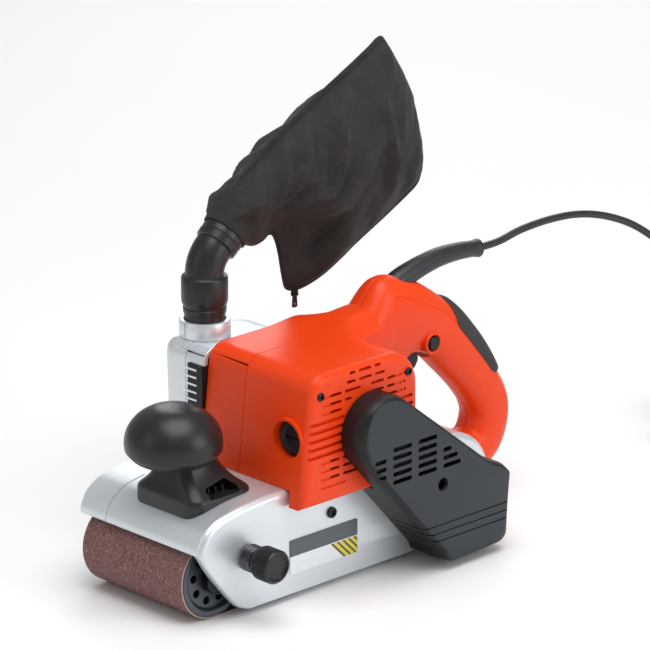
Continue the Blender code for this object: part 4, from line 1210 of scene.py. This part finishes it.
def bag_rings():
    """Rings of one cloth tube with a flat sewn edge above and below, and how firmly each point is held."""
    rows = smooth([(*t, *b, h) for t, b, h in zip(BAG_TOP, BAG_UNDER, BAG_HALF)], 6)
    rings, held = [], []
    for i, (tx, tz, bx, bz, half) in enumerate(rows):
        top, under = Vector((tx, OUTLET[1], tz)), Vector((bx, OUTLET[1], bz))
        length = (under - top).length
        run = (under - top).normalized()
        edge = 4.6 * ease(i, 10, 26) * ease(length, 14, 40)
        flat = edge > 0.5
        body = length - 2 * edge
        side = [(0.0, 0.0), (edge * 0.5, 0.65 * flat), (edge, 0.9 * flat)]
        for k in range(1, BAG_AROUND):
            phi = math.pi * k / BAG_AROUND
            side.append((edge + body * (1 - math.cos(phi)) / 2, max(0.9, half * math.sin(phi) ** 0.92)))
        side += [(edge + body, 0.9 * flat), (length - edge * 0.5, 0.65 * flat), (length, 0.0)]
        ring, pins = [], []
        for sign, points in ((1, side), (-1, side[-2:0:-1])):
            for along, out in points:
                spot = top + run * along
                gap = min(off for _, _, off in off_line(Vector((spot.x, spot.z)), BAG_FRONT))
                spot.y += sign * min(out, 0.9 + 0.5 * gap)
                ring.append(spot)
                inward = min(along, length - along) - edge
                near_seam, near_front = 0.55 * (1 - ease(inward, 0, 9)), 0.85 * (1 - ease(gap, 3, 20))
                pins.append(1.0 if inward <= 0.2 or i < CUFF_ROWS else max(near_seam, near_front))
        rings.append(ring)
        held.append(pins if i < len(rows) - SEWN_ROWS else [1.0] * len(ring))
    return rings, [weight for pins in held for weight in pins]


def fold_height(fold, x, z):
    """How far a fold in the cloth lifts the point: a ridge along its line, faded at its ends."""
    line, width, height = fold
    best = 0.0
    for i, share, off in off_line(Vector((x, z)), line):
        place = (i + share) / (len(line) - 1)
        fade = 0.35 + 0.65 * math.sin(math.pi * place)
        best = max(best, math.exp(-((off / (FOLD_WIDTH * width)) ** 2)) * fade)
    return FOLD_LIFT * height * best


def press(obj, held, pattern, fold_share):
    """Pushes the free cloth outwards by a pattern of x, z and side, and by a share of its folds."""
    for vert in obj.data.vertices:
        side = 1 if vert.co.y > OUTLET[1] * MM else -1
        x, z = vert.co.x / MM, vert.co.z / MM
        folds = fold_share * sum(fold_height(fold, x + 6 * (side > 0), z) for fold in FOLDS)
        vert.co.y += side * (1 - held[vert.index]) * MM * (pattern(x, z, side) + folds)


def drift(x, z, side):
    broad = noise.noise(Vector((x / 26 + 9 * side, z / 30, 4.0)))
    return broad * 3.6 + noise.noise(Vector((x / 9, z / 12, side * 5.0))) * 1.5


def crumple(x, z, side):
    return noise.noise(Vector((x / 13, z / 17, side * 7.0))) * 1.1


def add_cloth(obj):
    """Blows the bag up a little as cloth, and keeps the shape that it takes."""
    cloth = obj.modifiers.new("cloth", "CLOTH")
    rules = cloth.settings
    rules.quality = 6
    rules.mass = 0.1
    rules.tension_stiffness = rules.compression_stiffness = 12
    rules.shear_stiffness = 4
    rules.bending_stiffness = 0.3
    rules.vertex_group_mass = "held"
    rules.pin_stiffness = 1.0
    rules.shrink_min = -0.05
    rules.use_pressure = True
    rules.uniform_pressure_force = 0.08
    cloth.collision_settings.use_collision = False
    cloth.point_cache.frame_start, cloth.point_cache.frame_end = 1, SIM_FRAMES
    for step in range(1, SIM_FRAMES + 1):
        SCENE.frame_set(step)
    settle(obj)
    SCENE.frame_set(1)


def build_bag():
    rings, held = bag_rings()
    shape = loft(rings, caps=False)
    shape.verts.ensure_lookup_table()
    shape.faces.new(shape.verts[-len(rings[-1]) :])
    made = new_object("cloth_bag", shape)
    group = made.vertex_groups.new(name="held")
    for index, weight in enumerate(held):
        if weight > 0:
            group.add([index], weight, "REPLACE")
    press(made, held, drift, 1.0)
    add_cloth(made)
    press(made, held, crumple, 0.4)
    skin = made.modifiers.new("skin", "SOLIDIFY")
    skin.thickness, skin.offset = 0.8 * MM, 0.0
    skin.use_even_offset = False
    settle(made)
    dress(made, CLOTH, "dust_bag", body="dust_swivel", angle=60)
    return made


def build_zip():
    """The runner on the bag's lower edge and the puller that hangs from it."""
    y = OUTLET[1]
    edge = rounded([(56.4, 165.4, 0.8), (61.6, 165.4, 0.8), (61.0, 170.6, 1.2), (57.0, 170.6, 1.2)], 4)
    runner = new_object("zip_runner", soft_prism(edge, "Y", y - 1.7, y + 1.7, 0.5, 0.5, 2))
    cut(runner, box((50, y - 1.0, 160), (66, y + 1.0, 168.2)))
    dress(runner, DARK, body="dust_swivel")
    tag = rounded([(57.4, 167, 0.8), (56.6, 157, 1.2), (61.4, 157, 1.2), (60.6, 167, 0.8)], 4)
    pull = new_object("zip_tag", soft_prism(tag, "Y", y - 0.8, y + 0.8, 0.3, 0.3, 2))
    cut(pull, cylinder((59, 159.6), 1.0, "Y", 40, 56, 20))
    dress(pull, SPRING, "zip_puller", body="zip_pull")


# ---- belt, rollers and tension
def knurled(centre, radius, depth, teeth, low, high, ends):
    """A wheel along Y with square teeth; ends lists how far in it draws, and how far from each end."""
    rows = [(low + d, radius - i, 0) for i, d in ends] + [(low + ends[-1][1] + 0.5, radius, 1)]
    rows += [(high - ends[-1][1] - 0.5, radius, 1)] + [(high - d, radius - i, 0) for i, d in ends[::-1]]
    rings = []
    for y, reach, toothed in rows:
        ring = []
        for k in range(teeth * 4):
            angle = 2 * math.pi * k / (teeth * 4)
            r = reach - (depth if k % 4 in (1, 2) and toothed else 0)
            ring.append((centre[0] + r * math.cos(angle), y, centre[1] + r * math.sin(angle)))
        rings.append(ring)
    return loft(rings)


def build_belt():
    inner = around(FRONT, ROLLER_R + GAP, REAR, ROLLER_R + GAP, 60)
    outer = around(FRONT, BELT_R, REAR, BELT_R, 60)
    section = ((outer, -BARE_EDGE), (outer, BARE_EDGE), (inner, 50), (inner, -50))
    belt = new_object("abrasive_belt", stack(section, "Y", closed=True))
    dress(belt, GRIT, "sanding_belt", angle=50)


def build_rollers():
    front = [(6.3, -47.5), (9.5, -47.5), (10.4, -48.2), (12, -48.2), (21.5, -48.2), (22.6, -49.2)]
    front += [(23.4, -50.6), (24.2, -51), (27.2, -51), (27.7, -50.5), (27.7, 50.5), (27.2, 51), (24.2, 51)]
    front += [(22, 48.2), (6.3, 47.5)]
    roller = new_object("idler_roller", turned(front, FRONT, "Y", 96))
    holes = bmesh.new()
    for spot in arc(*FRONT, 16.6, 12, 332, 8):
        for low, high in ((-53, -34), (34, 53)):
            cylinder(spot, 3.0, "Y", low, high, 28, holes)
    cut(roller, holes)
    dress(roller, CAST, "front_roller", body="front_roller_set")
    rear = [(6.3, -50.6), (24, -50.6), (25, -51), (27.2, -51), (27.7, -50.4)]
    for i in range(24):
        y = -48 + 4 * i
        rear += [(27.7, y), (27.2, y + 0.5), (27.2, y + 1.1), (27.7, y + 1.6)]
    rear += [(27.7, 50.4), (27.2, 51), (22.4, 51), (20.4, 44.4), (6.3, 44)]
    drum = new_object("rubber_roller", turned(rear, REAR, "Y", 80))
    dress(drum, ROLLER_RUBBER, "drive_roller", body="drive_roller_set", angle=30)
    for name, node, centre, body, low, high in (
        ("idler_axle", "front_axle", FRONT, "roller_carriage", -57.3, 57.3),
        ("roller_axle", "drive_axle", REAR, "drive_roller_set", -82, 47),
    ):
        profile = [(0, low), (5.2, low), (6, low + 0.8), (6, high - 0.8), (5.2, high), (0, high)]
        axle = new_object(name, turned(profile, centre, "Y", 56))
        x, z = centre
        cut(axle, box((x - 7, high - 0.9, z - 0.6), (x + 7, high + 1, z + 0.6)))
        dress(axle, BLUED, node, body=body, slot="steel")


def build_fork():
    arms = anticlockwise([(-62, 17), (-100, 18)] + arc(*FRONT, 10.5, 270, 90, 28) + [(-99, 47), (-62, 47)])
    fork = new_object("tension_fork", soft_prism(arms, "Y", -56.5, 56.5, 1, 1, 3))
    cut(fork, prism(anticlockwise([(-150, 0), (-74, 0), (-74, 60), (-150, 60)]), "Y", -52, 52))
    cut(fork, cylinder(FRONT, 6.3, "Y", -60, 60))
    rod = [(0, -63), (5, -63), (5, -27.6), (4.4, -27), (0, -27)]
    fuse(fork, turned(rod, (0, BELT_R), "X", 48))
    dress(fork, BLUED, "roller_fork", body="roller_carriage")
    x, y = LEVER
    outline = arc(x, y, 4, 40, 300, 20)
    outline += curve([(x + 10, y - 2.5), (x + 34, y - 2.5), (x + 44, y - 2.3), (x + 46.6, y - 1)], 4)
    outline += curve([(x + 47, y + 2), (x + 45, y + 4), (x + 41, y + 3.6), (x + 34, y + 1.6)], 4)
    lever = new_object("release_arm", soft_prism(anticlockwise(outline), "Z", 23.1, 34.9, 0.8, 0.8, 3))
    cut(lever, cylinder(LEVER, 1.6, "Z", 20, 24, 24))
    dress(lever, DARK, "tension_lever", body="release_lever")


def build_tracking():
    steps = ((2.0, 0), (0.9, 0.5), (0.45, 1.2))
    knob = new_object("tracking_grip", knurled(TRACKING, 11.8, 0.75, 40, -93.6, -78, steps))
    dish = [(0, -91.6), (8.2, -91.8), (9.2, -92.8), (9.6, -94.5), (0, -94.5)]
    cut(knob, turned(dish, TRACKING, "Y", 64))
    stem = [(0, -80), (10.4, -80), (10.4, -76.9), (9.9, -76.5), (3, -76.5), (3, -57.2), (0, -57.2)]
    fuse(knob, turned(stem, TRACKING, "Y", 48))
    dress(knob, BLACK, "tracking_knob", body="tracking_screw", angle=30)
    spring = new_object("tracking_coil", helix("Y", TRACKING, 8.4, 1.15, -75.9, -64.3, 4, 40, 12))
    dress(spring, SPRING, "tracking_spring", angle=60)


# CAD nodes that stay as they are, mostly inside, with the finish of what they're made of.
KEPT = {
    COPPER: ("stator", "armature", "commutator"),
    STEEL: ("motor_shaft", "motor_pulley", "pinion_shaft", "drive_gear", "drive_bearing", "bearing_near")
    + ("bearing_far", "tension_spring", "platen_plate", "knob_bolt"),
    DARK: ("fan", "counter_pulley", "switch_body"),
    RUBBER: ("drive_belt", "brush_front", "brush_rear"),
    CORK: ("cork_pad",),
}


def finish_kept_nodes():
    for finish, names in KEPT.items():
        for name in names:
            materials = NODES[name].data.materials
            materials.clear()
            materials.append(finish)


build_rear_handle()
build_grip_pad()
build_trigger()
build_front_knob()
build_fan_housing()
build_elbow()
build_belt()
build_rollers()
build_fork()
build_tracking()
finish_kept_nodes()
bag = build_bag()
build_zip()
